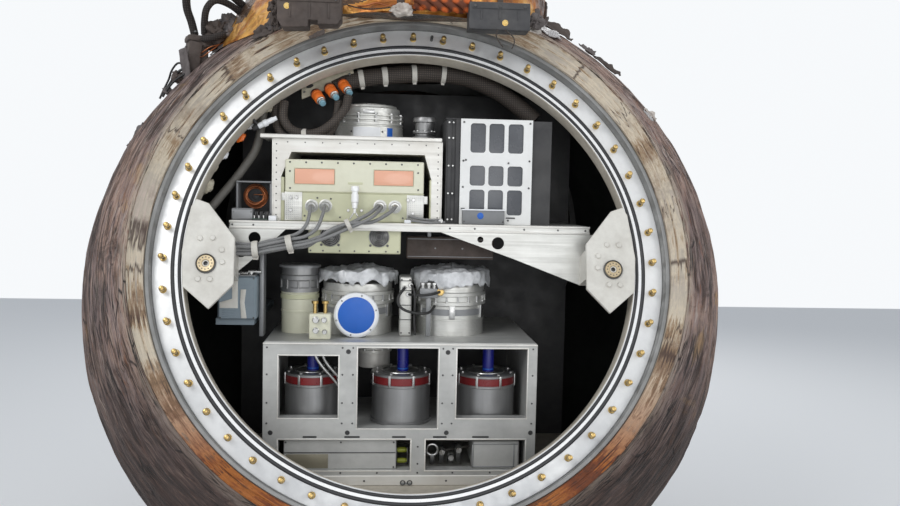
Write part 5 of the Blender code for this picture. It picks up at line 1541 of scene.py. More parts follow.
def makeDrums():
    d = drums["main"]
    x, y, r, low = d["x"], d["y"], d["r"], d["low"]
    bm = bmesh.new()
    add(bm, lathe(scaled(d["rows"], r), 96), (upright(x, y, low),), 0)
    for k in range(12):
        angle = math.radians(30 * k + 12)
        px, py = math.cos(angle), math.sin(angle)
        boltX, boltY = x + px * r * 0.965, y + py * r * 0.965
        add(bm, lathe([(0, 0), (0.0050, 0), (0.0050, 0.030), (0.0040, 0.032), (0, 0.032)], 10),
            (upright(boltX, boltY, low + 0.052),), 1)
        add(bm, hexBolt(0.0060, 0.005), (upright(boltX, boltY, low + 0.0800),), 1)
    ring = hoop(r * 0.50, 0.0045, 48, 8)
    add(bm, ring, (upright(x, y, low + 0.1165),), 1)
    # blank label and tag that follow the drum's side
    for first, last, z0, z1, index in ((-116.0, -70.5, 0.006, 0.036, 2), (-58.0, -47.0, 0.004, 0.036, 3)):
        bmLabel = bmesh.new()
        edge = [bmLabel.verts.new((*onRing(r + 0.0006, first), z)) for z in (z0, z1)]
        line = bmLabel.edges.new(edge)
        bmesh.ops.spin(bmLabel, geom=edge + [line], cent=(0, 0, 0), axis=(0, 0, 1), angle=math.radians(last - first),
            steps=16, use_merge=False, use_duplicate=False)
        bmesh.ops.recalc_face_normals(bmLabel, faces=bmLabel.faces)
        bmesh.ops.solidify(bmLabel, geom=bmLabel.faces[:], thickness=0.0008)
        bmesh.ops.recalc_face_normals(bmLabel, faces=bmLabel.faces)
        add(bm, bmLabel, (upright(x, y, low),), index)
    for angle in (-119.5, -67.0):
        dx, dy = onRing(r, angle)
        turn = spun(angle, "Z") @ Matrix.Rotation(math.pi / 2, 4, "Y")
        add(bm, screwHead(0.0032, 0.0020, 12), (upright(x + dx, y + dy, low + 0.022) @ turn,), 4)
    add(bm, block(x - 0.020, x + 0.020, y - r * 0.95, y - r * 0.80, low + 0.0820, low + 0.0960, 0.003), index=1)
    inner("mainDrum", bm, ("alloy", "steel", "whiteRim", "blue", "darkSteel"), "rack_alloy", stands=("drum_main",),
        sharp=30)
    d = drums["small"]
    x, y, r, low = d["x"], d["y"], d["r"], d["low"]
    bm = bmesh.new()
    add(bm, lathe(scaled(d["rows"], r), 64), (upright(x, y, low),), 0)
    bolts = [onRing(0.85 * r, 45 * k) for k in range(8)]
    add(bm, hexBolt(0.0042, 0.0035), [upright(x + dx, y + dy, low + 0.030) for dx, dy in bolts], 1)
    inner("smallDrum", bm, ("tank", "steel"), "rack_alloy", stands=("drum_small",), sharp=30)


vesselDeck, vesselY = -0.0417, -0.38003641
# name, node, look, x, y, radius, height
vessels = (
    ("vesselLeft", "vessel_left", "cream", -0.367, -0.40003641, 0.064, 0.226),
    ("vesselMiddle", "vessel_middle", "alloy", -0.174, vesselY, 0.122, 0.170),
    ("vesselRight", "vessel_right", "alloy", 0.138, vesselY, 0.122, 0.170),
)
# outlines in shares of a vessel's radius and height
vesselRows = ((0, 0), (0.94, 0), (0.94, 0.30), (0.965, 0.305), (0.965, 0.33), (0.94, 0.335), (0.94, 0.575),
    (0.955, 0.580), (1, 0.60), (1, 0.66), (0.96, 0.675), (0.96, 0.765), (1, 0.78), (1, 0.84), (0.95, 0.855),
    (0.95, 0.985), (0.94, 1), (0, 1))
slimBand = ((0.97, 0.50), (1.00, 0.505), (1.00, 0.56), (0.97, 0.565))
wideBand = ((0.94, 0.40), (0.952, 0.405), (0.952, 0.52), (0.94, 0.525))
filmCover = dict(rings=22, around=120, reach=0.157, flat=0.345, hub=0.006, hem=0.012, rim=0.1235, sink=0.010,
    thick=0.0008)


def makeVessels():
    for name, node, look, x, y, r, tall in vessels:
        bm = bmesh.new()
        slim = r < 0.08
        place = upright(x, y, vesselDeck)
        add(bm, lathe(scaled(vesselRows, r, tall), 80), (place,), 0)
        count = 10 if slim else 20
        for k in range(count):
            angle = math.tau * (k + 0.5) / count
            bolt = upright(x + r * 0.975 * math.cos(angle), y + r * 0.975 * math.sin(angle), vesselDeck + tall * 0.655)
            add(bm, hexBolt(0.0042, 0.0040), (bolt,), 1)
            add(bm, lathe([(0, 0), (0.0030, 0), (0.0030, tall * 0.13), (0, tall * 0.13)], 8), (bolt,), 1)
        if slim:
            add(bm, lathe(scaled(slimBand, r, tall), 64, closed=True), (place,), 2)
        else:
            add(bm, lathe(scaled(wideBand, r, tall), 80, closed=True), (place,), 2)
            for k in range(3):
                angle = math.radians(-150 + 60 * k)
                add(bm, block(-0.010, 0.010, -0.006, 0.006, 0.0, tall * 0.26, 0.002),
                    (upright(x + r * 0.955 * math.cos(angle), y + r * 0.955 * math.sin(angle), vesselDeck + tall * 0.34)
                    @ Matrix.Rotation(angle + math.pi / 2, 4, "Z"),), 1)
        if slim:
            for face in bm.faces:
                if face.calc_center_median().z > vesselDeck + tall * 0.60:
                    face.material_index = 3
            add(bm, lathe([(r * 0.90, tall - 0.010), (r * 1.07, tall - 0.010), (r * 1.07, tall - 0.003),
                (r * 0.90, tall)], 80, closed=True), (place,), 4)
        inner(name, bm, (look, "steel", "creamDeep" if slim else "greyPlate", "tank", "greyPlate"), "cream_paint"
            if slim else "rack_alloy", stands=(node,), sharp=30)
    f = filmCover
    for name, node, rest, x, y, top, seed in (("filmMiddle", "vessel_cover_middle", "vesselMiddle", -0.174, vesselY,
            0.1835, 3.0), ("filmRight", "vessel_cover_right", "vesselRight", 0.138, vesselY, 0.1875, 11.0)):
        bm = bmesh.new()
        bmesh.ops.create_circle(bm, cap_ends=True, cap_tris=True, segments=f["around"], radius=f["hub"])
        rim = [e for e in bm.edges if e.is_boundary]
        flatEdge = f["hub"]
        for k in range(1, f["rings"] + 1):
            grown = bmesh.ops.extrude_edge_only(bm, edges=rim)["geom"]
            verts = [g for g in grown if isinstance(g, bmesh.types.BMVert)]
            rim = [g for g in grown if isinstance(g, bmesh.types.BMEdge) and g.is_boundary]
            want = f["hub"] + (f["reach"] + f["hem"] - f["hub"]) * k / f["rings"]
            bmesh.ops.scale(bm, vec=(want / flatEdge, want / flatEdge, 1), verts=verts)
            flatEdge = want
        for vert in bm.verts:
            r = math.hypot(vert.co.x, vert.co.y)
            angle = math.atan2(vert.co.y, vert.co.x)
            edge = f["rim"] + 0.004 * noise.noise(Vector((math.cos(angle) * 2, math.sin(angle) * 2, seed)))
            over = max(0.0, r - edge)
            broad = Vector((vert.co.x * 11, vert.co.y * 11, seed))
            swell = 0.014 * noise.noise(broad) + 0.006 * noise.fractal(broad * 3.0, 0.7, 2.0, 4)
            crease = 0.010 * (
                0.5 - abs(noise.noise(broad * 2.2
                    + Vector((0, 0, 5.0))))) + 0.005 * (0.4 - abs(noise.noise(broad * 5.1))
            )
            z = top - f["sink"] + swell + crease - f["sink"] * (min(r, edge) / edge) ** 3
            if over > 0:
                frill = noise.fractal(Vector((math.cos(angle) * 5, math.sin(angle) * 5, seed + 4.0 + 20 * over)), 0.8,
                    2.0, 3)
                spread = edge + 0.006 + 0.007 * frill + 0.12 * over
                ragged = 1.0 + 0.55 * noise.fractal(Vector((math.cos(angle) * 2.6, math.sin(angle) * 2.6, seed + 9.0)),
                    0.8, 2.0, 3)
                vert.co.x, vert.co.y = spread * math.cos(angle), spread * math.sin(angle)
                z -= over * ragged * 0.95
            vert.co.z = z
        slide(bm, x, y, 0)
        bmesh.ops.recalc_face_normals(bm, faces=bm.faces)
        film = inner(name, bm, "film", "white_plastic", stands=(node,), sharp=60)
        thick = film.modifiers.new("filmThickness", "SOLIDIFY")
        thick.thickness = f["thick"]
        thick.offset = 0.0


makeDrums()
makeVessels()


disc = dict(x=-0.1745, y=-0.53203641, z=0.0315)


def makeMiddle():
    d = disc
    bm = bmesh.new()
    add(bm, lathe([(0, 0.0086), (0.0575, 0.0086), (0.0590, 0.0080), (0.0590, -0.004), (0, -0.004)], 72),
        (front(d["x"], d["y"], d["z"]),), 0)
    add(bm, lathe([(0.0590, -0.006), (0.0700, -0.006), (0.0730, -0.003), (0.0730, 0.003), (0.0710, 0.0060),
        (0.0660, 0.0088), (0.0600, 0.0088), (0.0590, 0.0080)], 72, closed=True), (front(d["x"], d["y"], d["z"]),), 1)
    spots = [front(d["x"] + 0.0655 * math.cos(math.radians(a)), d["y"] - 0.0080, d["z"]
        + 0.0655 * math.sin(math.radians(a))) for a in range(15, 375, 60)]
    add(bm, screwHead(0.0028, 0.0016, 10), spots, 2)
    add(bm, block(-0.204, -0.145, d["y"] + 0.004, -0.497, vesselDeck + 0.0005, 0.0650, 0.002), index=3)
    inner("roundCover", bm, ("blue", "whiteRim", "darkSteel", "greyPlate"), "blue_paint", stands=("round_disc",),
        sharp=25)
    bm = block(-0.0350, 0.0040, rackFace, -0.400036, vesselDeck, 0.1550, 0.007, 3)
    for z in (0.012, 0.060, 0.108, 0.140):
        add(bm, block(-0.0362, 0.0052, -0.5012, -0.4400, z, z + 0.0030, 0.001), index=1)
    screwsOn(bm, smallScrew, -0.5000, [(x, z) for z in (0.145, -0.030) for x in (-0.029, -0.002)], 1)
    for x, z in ((-0.020, 0.118), (0.000, 0.128), (-0.008, 0.098)):
        add(bm, lathe([(0, 0), (0.0080, 0), (0.0080, 0.006), (0.0062, 0.0075), (0.0062, 0.013), (0, 0.013)], 14),
            (front(x, -0.4990, z),), 2)
    inner("valveBlock", bm, ("alloy", "darkSteel", "steel"), "grey_paint", stands=("valve_block",))
    # brass fitting and valve body beside the right vessel
    bm = bmesh.new()
    add(bm, block(0.030, 0.090, -0.5030, -0.4830, 0.086, 0.118, 0.004), index=0)
    add(bm, block(0.052, 0.068, -0.4960, -0.4850, vesselDeck + 0.0003, 0.088, 0.002), index=0)
    add(bm, lathe([(0, 0), (0.0105, 0), (0.0105, 0.010), (0.0085, 0.012), (0.0085, 0.026), (0, 0.026)], 20),
        (front(0.098, -0.4900, 0.106),), 1)
    add(bm, lathe([(0, 0), (0.0130, 0), (0.0130, 0.007), (0.0110, 0.008), (0, 0.008)], 6),
        (front(0.098, -0.4960, 0.106),), 1)
    add(bm, lathe([(0, 0), (0.0075, 0), (0.0075, 0.018), (0, 0.018)], 16),
        [upright(x, -0.4930, 0.116) for x in (0.040, 0.060, 0.078)], 2)
    add(bm, lathe([(0, 0), (0.0095, 0), (0.0095, 0.006), (0, 0.006)], 6),
        [upright(x, -0.4930, 0.130) for x in (0.040, 0.060, 0.078)], 2)
    inner("gasFitting", bm, ("greyPlate", "brass", "steel"), "rack_alloy")
    # regulator with its little taps
    x0, x1, y0, y1 = -0.322, -0.254, -0.58003641, -0.53003641
    bm = block(x0, x1, y0, y1, vesselDeck, 0.0400, 0.005, 3)
    for x, z, r in ((-0.300, 0.022, 0.011), (-0.274, 0.022, 0.009), (-0.300, -0.012, 0.010), (-0.272, -0.016, 0.008)):
        add(bm, lathe([(0, 0), (r, 0), (r, 0.005), (r * 0.75, 0.007), (r * 0.75, 0.016), (0, 0.016)], 18),
            (front(x, y0, z),), 1)
    add(bm, lathe([(0, 0), (0.0060, 0), (0.0060, 0.030), (0.0110, 0.032), (0.0110, 0.040), (0, 0.040)], 18),
        [upright(x, -0.556, 0.039) for x in (-0.305, -0.272)], 2)
    inner("gasRegulator", bm, ("cream", "steel", "brass"), "cream_paint", stands=("regulator",))


# name, node, x, radius
canisters = (
    ("canisterLeft", "canister_left", -0.317, 0.092),
    ("canisterMiddle", "canister_middle", -0.025, 0.100),
    ("canisterRight", "canister_right", 0.257, 0.100),
)
canister = dict(y=-0.47403641, low=-0.3227)


def makeCanisters():
    c = canister
    for name, node, x, r in canisters:
        low, y = c["low"], c["y"]
        place = upright(x, y, low)
        bm = bmesh.new()
        rows = [(0, 0), (r * 0.985, 0), (r, 0.002), (r, 0.010), (r * 0.96, 0.012), (r * 0.96, 0.1210),
            (r * 0.975, 0.1225), (r, 0.1232), (r, 0.1290), (r - 0.001, 0.1300), (r - 0.004, 0.1305)]
        add(bm, lathe(rows + [(0, 0.1305)], 96), (place,), 0)
        add(bm, lathe([(r * 0.5, 0.1290), (r - 0.0040, 0.1290), (r - 0.0030, 0.1300), (r - 0.0025, 0.1430),
            (r - 0.0030, 0.1552), (r - 0.0040, 0.1562), (r * 0.5, 0.1562)], 96, closed=True), (place,), 1)
        add(bm, lathe([(0, 0.1545), (r - 0.002, 0.1545), (r, 0.1555), (r, 0.1615), (r - 0.0015, 0.1628),
            (r * 0.97, 0.1640), (r * 0.90, 0.1646), (0, 0.1646)], 96), (place,), 2)
        clip = block(-0.0040, 0.0040, -0.0018, 0.0018, 0.1235, 0.1625, 0.0008)
        turns = [place @ spun(22 + 45 * k, "Z") for k in range(8)]
        add(bm, clip, [turn @ Matrix.Translation((0, -r - 0.0004, 0)) for turn in turns], 3)
        add(bm, hexBolt(0.0048, 0.0050), [turn @ Matrix.Translation((0, -r * 0.86, 0.1640)) for turn in turns], 3)
        add(bm, lathe([(0.0130, 0), (0.0240, 0), (0.0240, 0.003), (0.0200, 0.006), (0.0130, 0.006)], 36, closed=True),
            (upright(x + 0.004, y - 0.030, low + 0.1640),), 3)
        add(bm, hoop(r * 0.62, 0.0030, 64, 8), (upright(x, y, low + 0.1650),), 3)
        inner(name, bm, ("tank", "red", "tank", "steel"), "grey_paint", stands=(node,), sharp=30)
    for word, row in zip(("left", "middle", "right"), canisters):
        bx, by = row[2] + 0.004, c["y"] - 0.030
        bm = lathe([(0, -0.1577), (0.0180, -0.1577), (0.0184, -0.150), (0.0184, -0.076), (0.0170, -0.070),
            (0.0120, -0.063), (0.0100, -0.0622), (0, -0.0622)], 36)
        add(bm, lathe([(0.0180, -0.147), (0.0187, -0.1466), (0.0187, -0.1430), (0.0180, -0.1426)], 36, closed=True),
            index=1)
        slide(bm, bx, by, 0)
        inner("gasBottle" + word.title(), bm, ("deepBlue", "blue"), "blue_paint", stands=("blue_bottle_" + word,))


makeMiddle()
makeCanisters()
print("vessels, cover and canisters made")


# lower frame and floor
lowerFrame = dict(y=-0.62003641)


def makeLowerFrame():
    dress(("lower_frame", "mid_deck", "lower_panel", "lower_box"), "deck")
    dress(("frame_sill",), "portal")
    dress(("cabin_floor",), "liner")
    dress(("cross_bulkhead",), "black")
    y = lowerFrame["y"]
    bm = bmesh.new()
    for x, z in ((-0.195, -0.330), (0.118, -0.330), (-0.195, -0.072), (0.118, -0.072), (-0.435, -0.330),
            (0.388, -0.330)):
        add(bm, lathe([(0.0060, 0.0002), (0.0060, 0.0012), (0.0074, 0.0012), (0.0078, 0.0002)], 20, closed=True),
            (front(x, y, z),), 1)
        add(bm, lathe([(0, 0.0002), (0.0060, 0.0002), (0.0060, 0.0005), (0, 0.0005)], 20), (front(x, y, z),), 0)
    for x0, x1 in ((-0.335, -0.290), (-0.205, -0.155), (-0.055, -0.010), (0.075, 0.120), (0.200, 0.255)):
        slot = platePart([((x0 + x1) / 2 + (x1 - x0) / 2 * a, -0.3435 + 0.0030 * b) for a,
            b in ((-1, 0), (-0.92, -1), (0.92, -1), (1, 0), (0.92, 1), (-0.92, 1))], 0.0002, 0.0007)
        add(bm, slot, (front(0, y, 0),), 0)
    screwsAt = [(x, z) for x in (-0.447, -0.213, -0.180, 0.103, 0.134, 0.390) for z in (-0.060, -0.145, -0.235, -0.300)]
    screwsAt += [(x, -0.459) for x in (-0.435, -0.330, -0.215, -0.100, 0.028, 0.140, 0.260, 0.388)] + [(0.028, -0.375),
        (0.028, -0.430)]
    screwsOn(bm, smallScrew, y, screwsAt, 1)
    # edge strips that give the bays their folded look
    for x0, x1, z0, z1 in ((-0.411, -0.226, -0.283, -0.086), (-0.165, 0.088, -0.316, -0.060),
            (0.148, 0.372, -0.283, -0.060), (-0.411, 0.004, -0.451, -0.353), (0.053, 0.372, -0.451, -0.353)):
        for a, b, c, d in ((x0 - 0.004, x1 + 0.004, z0 - 0.004, z0), (x0 - 0.004, x1 + 0.004, z1, z1 + 0.004),
                (x0 - 0.004, x0, z0, z1), (x1, x1 + 0.004, z0, z1)):
            add(bm, block(a, b, y - 0.0014, y + 0.0010, c, d, 0.0006), index=2)
    add(bm, block(-0.4592, 0.4042, y - 0.0030, y + 0.010, -0.0500, -0.0455, 0.001), index=2)
    inner("frameTrim", bm, ("black", "darkSteel", "portal"), "rack_alloy")
    bm = block(-0.3860, -0.2550, y + 0.0100, y + 0.0118, -0.4470, -0.4020, 0.0006)
    add(bm, block(-0.3820, -0.2590, y + 0.0094, y + 0.0102, -0.4430, -0.4060, 0.0003), index=1)
    panelScrews = ((-0.388, -0.364), (-0.388, -0.444), (-0.048, -0.364), (-0.048, -0.444), (-0.215, -0.364))
    screwsOn(bm, smallScrew, y + 0.012, panelScrews, 2)
    add(bm, block(-0.3920, -0.0420, y + 0.0106, y + 0.0122, -0.3990, -0.3955, 0.0005), index=2)
    inner("lowPanelLabel", bm, ("olive", "olive", "darkSteel"), "rack_alloy")
    # green fuse holders and unions in the right bay
    bm = bmesh.new()
    barrel = lathe([(0, 0), (0.0060, 0), (0.0060, 0.005), (0.0085, 0.007), (0.0085, 0.030), (0.0060, 0.032),
        (0.0060, 0.038), (0, 0.038)], 20)
    add(bm, barrel, [upright(-0.0390, y + 0.070, z) @ Matrix.Rotation(math.pi / 2, 4, "Y") for z in (-0.4050, -0.4400)],
        0)
    for x in (-0.0400, -0.0040):
        add(bm, block(x, x + 0.0040, y + 0.060, y + 0.085, -0.4515, -0.3960, 0.001), index=1)
    ring = hoop(0.018, 0.0040, 40, 10)
    add(bm, ring, (front(0.078, y + 0.070, -0.405),), 2)
    add(bm, block(0.070, 0.086, y + 0.064, y + 0.078, -0.4515, -0.4215, 0.002), index=1)
    for x, z in ((0.110, -0.412), (0.140, -0.430), (0.165, -0.405)):
        add(bm, lathe([(0, 0), (0.0120, 0), (0.0120, 0.030), (0.0090, 0.034), (0.0090, 0.050), (0, 0.050)], 20),
            (front(x, y + 0.110, z),), 2)
        add(bm, block(x - 0.008, x + 0.008, y + 0.080, y + 0.110, -0.4515, z, 0.002), index=1)
    inner("bayUnions", bm, ("yellowGreen", "darkSteel", "steel"), "rack_alloy")
    bm = bmesh.new()
    for x0, x1, z0, z1 in ((0.203, 0.352, -0.3720, -0.3680), (0.203, 0.352, -0.4460, -0.4420),
            (0.203, 0.207, -0.4460, -0.3680), (0.336, 0.340, -0.4460, -0.3680)):
        add(bm, block(x0, x1, y + 0.0105, y + 0.0125, z0, z1, 0.0006), index=0)
    inner("boxEdges", bm, ("greyPlate",), "grey_paint")
    # clip and seams on the sill
    bm = block(-0.026, 0.012, y - 0.0050, y - 0.0035, -0.4960, -0.4890, 0.0006)
    for x in (-0.018, 0.004):
        add(bm, hoop(0.0070, 0.0018, 24, 8), (front(x, y - 0.0050, -0.4900),), 1)
    sillScrews = [(x, -0.4840) for x in (-0.40, -0.27, -0.14, 0.12, 0.25, 0.36)]
    screwsOn(bm, (0.0032, 0.0018, 10), y - 0.004, sillScrews, 1)
    inner("sillClip", bm, ("greyPlate", "darkSteel"), "cream_paint")


makeLowerFrame()
print("lower frame made")


# burnt block at the left of the collar, with its flap and lugs
sideBlock = dict(turn=-69.0, half=0.038, near=0.752, far=0.826, low=0.792, high=0.944, rough=0.0034)


def makeSideBlock():
    s = sideBlock
    place = spun(s["turn"], "Z")
    bm = block(-s["half"], s["half"], -s["far"] + 0.010, -s["near"], s["low"] + 0.020, s["high"] - 0.018, 0.008, 2)
    roughen(bm, s["rough"], 30.0, 3)
    lid = block(-s["half"] - 0.002, s["half"] + 0.002, -s["far"] + 0.006, -s["near"] - 0.004, s["high"] - 0.022,
        s["high"] - 0.002, 0.005, 2)
    roughen(lid, s["rough"], 45.0, 2)
    add(bm, lid)
    foot = block(-s["half"] * 0.8, s["half"] * 0.9, -0.835, -0.742, 0.786, 0.816, 0.006, 2)
    roughen(foot, s["rough"], 40.0, 2)
    add(bm, foot)
    # a flap on the side that faces the hatch, and a second one bent away from it
    flap = block(-0.020, 0.020, -0.0025, 0.0025, -0.050, 0.050, 0.0018, 2)
    roughen(flap, 0.0022, 42.0, 4)
    for x, y, z, lean, twistBy, index in ((0.042, -0.800, 0.868, 8, 84, 0), (0.036, -0.830, 0.846, -14, 30, 1)):
        spotAt = Matrix.Translation((x, y, z)) @ spun(twistBy, "Z") @ spun(lean, "Y")
        add(bm, flap, (spotAt,), index)
    for x, z in ((-0.024, 0.944), (0.020, 0.944)):
        add(bm, hexBolt(0.0062, 0.0060), (upright(x, -0.792, z + 0.008),), 3)
    for z in (0.830, 0.905):
        add(bm, hexBolt(0.0058, 0.0055), (front(-0.016, -s["far"] + 0.010, z),), 3)
    carry(bm, place)
    inner("sideBlock", bm, ("burnt", "ashGrey", "ashGrey", "darkSteel"), "dark_paint", stands=("side_block",),
        merge=False)


# foil skirt from the collar's wall down to the ball, widest at the left
skirt = dict(rows=12, steps=300, wide=0.028, more=0.085, at=205.0, spread=30.0, low=0.030, high=0.075, crumple=0.0050,
    thick=0.006)


def makeSkirt():
    s, c = skirt, collar
    start = c["out"] - 0.004
    radii = [start + 0.1 * k / s["rows"] for k in range(s["rows"] + 1)]
    bm = lathe([(r, 1.0) for r in radii] + [(r, 0.99) for r in radii[::-1]], s["steps"], closed=True)
    for vert in bm.verts:
        r = math.hypot(vert.co.x, vert.co.y)
        angle = math.degrees(math.atan2(vert.co.y, vert.co.x)) % 360
        share, top = (r - start) / 0.1, vert.co.z > 0.995
        wide = math.exp(-((angle - s["at"]) / s["spread"]) ** 2)
        x, y = vert.co.x / r, vert.co.y / r
        ragged = noise.fractal(Vector((x * 4, y * 4, 2.0)), 0.8, 2.0, 4)
        reach = s["wide"] + s["more"] * wide + 0.010 * ragged
        radius = start + reach * share
        px, py = x * radius, y * radius
        ground = math.sqrt(max(0.0, ballRadius ** 2 - (px + c["x"]) ** 2 - py ** 2))
        ground = min(ground, collarPlane) + 0.0035
        high = collarPlane + s["low"] + s["high"] * wide
        height = ground + (high - ground) * max(0.0, 1 - share) ** 1.25
        folds = noise.fractal(Vector((x * 13, y * 13, share * 2.0)), 0.7, 2.0, 4)
        if top:
            height += s["thick"] + s["crumple"] * (folds + 0.4) * (1 - 0.5 * share)
        vert.co = Vector((px, py, height))
    for face in bm.faces:
        mid = face.calc_center_median()
        face.material_index = 1 if noise.noise(mid * 7.0) > 0.12 else 0
    bmesh.ops.recalc_face_normals(bm, faces=bm.faces)
    slide(bm, c["x"], 0, 0)
    inner("collarSkirt", bm, ("foil", "darkFoil"), "amber_layers", sharp=60)


# flakes of peeled crust that stand off the ball
# centre, along, half length, half width, lift, curl, look, seed
flakes = (
    ((0.485, -0.285, 1.012), (0.86, 0.0, -0.51), 0.088, 0.040, 0.008, 0.034, "burnt", 1.0),
    ((0.430, -0.315, 1.030), (0.80, 0.30, -0.50), 0.046, 0.034, 0.012, 0.040, "ashGrey", 4.0),
    ((0.665, -0.304, 0.893), (0.77, 0.0, -0.64), 0.082, 0.026, 0.006, 0.024, "burnt", 7.0),
    ((0.600, -0.330, 0.930), (0.77, -0.2, -0.60), 0.040, 0.020, 0.010, 0.022, "ashGrey", 9.0),
    ((0.440, -0.420, 0.980), (0.80, -0.3, -0.50), 0.070, 0.048, 0.003, 0.008, "silverCloth", 12.0),
    ((0.372, -0.500, 0.968), (0.90, -0.1, -0.40), 0.050, 0.028, 0.003, 0.010, "paleCrust", 15.0),
    ((0.806, -0.410, 0.712), (0.55, 0.30, -0.75), 0.034, 0.020, 0.003, 0.010, "paleCrust", 18.0),
    ((0.780, -0.470, 0.700), (0.60, 0.20, -0.75), 0.026, 0.014, 0.002, 0.006, "silverCloth", 21.0),
    ((-0.470, -0.520, 0.915), (0.80, -0.4, 0.40), 0.048, 0.036, 0.014, 0.034, "burnt", 24.0),
    ((-0.300, -0.655, 0.895), (1.00, 0.0, 0.10), 0.026, 0.016, 0.003, 0.008, "burnt", 27.0),
    ((-0.655, -0.300, 0.896), (0.60, -0.4, 0.60), 0.036, 0.024, 0.006, 0.016, "ashGrey", 30.0),
    ((-0.930, -0.300, 0.606), (0.50, 0.10, 0.85), 0.060, 0.020, 0.002, 0.008, "ashGrey", 33.0),
    ((0.520, 0.420, 0.935), (0.80, 0.2, -0.5), 0.070, 0.034, 0.004, 0.016, "burnt", 36.0),
    ((-0.620, 0.300, 0.922), (0.70, 0.3, 0.5), 0.060, 0.030, 0.004, 0.018, "ashGrey", 39.0),
)


# place, size: burnt matter between the block and the collar, and beside the left box
clumps = (
    ((-0.664, -0.296, 0.956), (0.034, 0.030, 0.034)), ((-0.632, -0.262, 0.985), (0.034, 0.032, 0.036)),
    ((-0.690, -0.292, 0.918), (0.028, 0.024, 0.024)), ((-0.612, -0.300, 0.955), (0.026, 0.024, 0.020)),
    ((-0.436, -0.560, 0.962), (0.018, 0.030, 0.026)), ((-0.448, -0.530, 0.946), (0.020, 0.022, 0.018)),
    ((-0.440, -0.545, 0.998), (0.018, 0.026, 0.020)), ((0.385, -0.520, 0.990), (0.026, 0.024, 0.020)),
    ((-0.790, -0.310, 0.800), (0.018, 0.014, 0.020)), ((-0.832, -0.270, 0.758), (0.016, 0.010, 0.012)),
)


flakeShape = dict(across=84, along=44, edge=0.78, smooth=5, thick=0.0028)
foam = dict(place=(-0.048, -0.606, 0.990), size=(0.036, 0.022, 0.019))


def makeFlakes():
    parts = {}
    for centre, along, half, side, lift, curl, look, seed in flakes:
        middle = Vector(centre)
        up = middle.normalized()
        right = (Vector(along) - up * Vector(along).dot(up)).normalized()
        over = up.cross(right)
        bm = bmesh.new()
        bmesh.ops.create_grid(bm, x_segments=flakeShape["across"], y_segments=flakeShape["along"], size=1.0)
        gone = []
        for face in bm.faces:
            m = face.calc_center_median()
            edge = m.x ** 2 + m.y ** 2 + 0.75 * noise.fractal(Vector((m.x * 1.7, m.y * 1.2, seed)), 1.1, 2.0, 2)
            if edge > flakeShape["edge"]:
                gone.append(face)
        bmesh.ops.delete(bm, geom=gone, context="FACES")
        for _ in range(flakeShape["smooth"]):
            rim = [v for v in bm.verts if v.is_boundary]
            bmesh.ops.smooth_vert(bm, verts=rim, factor=0.6, use_axis_x=True, use_axis_y=True)
        for vert in bm.verts:
            u, v = vert.co.x, vert.co.y
            wave = noise.fractal(Vector((u * 1.6, v * 1.6, seed + 5.0)), 1.1, 2.0, 2)
            height = lift + curl * max(0.0, 0.55 * v + 0.35 * u + 0.6 * wave) + 0.004 * wave
            where = middle + right * (u * half) + over * (v * side)
            vert.co = where.normalized() * (ballRadius + max(-0.001, height))
        bmesh.ops.recalc_face_normals(bm, faces=bm.faces)
        if bm.faces and sum((f.normal.dot(up) for f in bm.faces)) < 0:
            bmesh.ops.reverse_faces(bm, faces=bm.faces)
        bmesh.ops.solidify(bm, geom=bm.faces[:], thickness=flakeShape["thick"])
        bmesh.ops.recalc_face_normals(bm, faces=bm.faces)
        parts.setdefault(look, []).append(bm)
    for look, pieces in parts.items():
        whole = bmesh.new()
        for bm in pieces:
            add(whole, bm)
        inner("crustFlakes" + look[0].upper() + look[1:], whole, look, "charred_shield", sharp=50)
    # cream lump of hardened foam at the collar's foot
    bm = bmesh.new()
    bmesh.ops.create_icosphere(bm, subdivisions=4, radius=1.0)
    for vert in bm.verts:
        swell = 1.0 + 0.35 * noise.fractal(vert.co * 1.8 + Vector((3, 0, 0)), 0.8, 2.0, 4)
        vert.co = Vector([co * s for co, s in zip(vert.co, foam["size"])]) * swell
    slide(bm, *foam["place"])
    inner("foamLump", bm, "paleCrust", "charred_shield", sharp=60)
    bm = bmesh.new()
    for k, (place, size) in enumerate(clumps):
        lump = bmesh.new()
        bmesh.ops.create_icosphere(lump, subdivisions=4, radius=1.0)
        for vert in lump.verts:
            swell = 1.0 + 0.60 * noise.fractal(vert.co * 1.5 + Vector((3.0 * k, 0, 0)), 0.7, 2.2, 5)
            vert.co = Vector([co * s for co, s in zip(vert.co, size)]) * swell
        add(bm, lump, (upright(*place),), k % 2)
    inner("burntClumps", bm, ("burnt", "ashGrey"), "charred_shield", sharp=60)


# strip, plugs and lugs round the upper left of the bore
boreStrip = dict(low=0.628, high=0.6455, inside=0.700, outside=0.724, first=127.5, last=161.5,
    plugStart=(-0.500, -0.468, 0.632), plugEnd=(-0.442, -0.470, 0.660), hull=0.998, screwCircle=0.711)


def onBore(angle, radius, height):
    x, y = onRing(radius, angle)
    return upright(x, y, height) @ spun(angle, "Z")


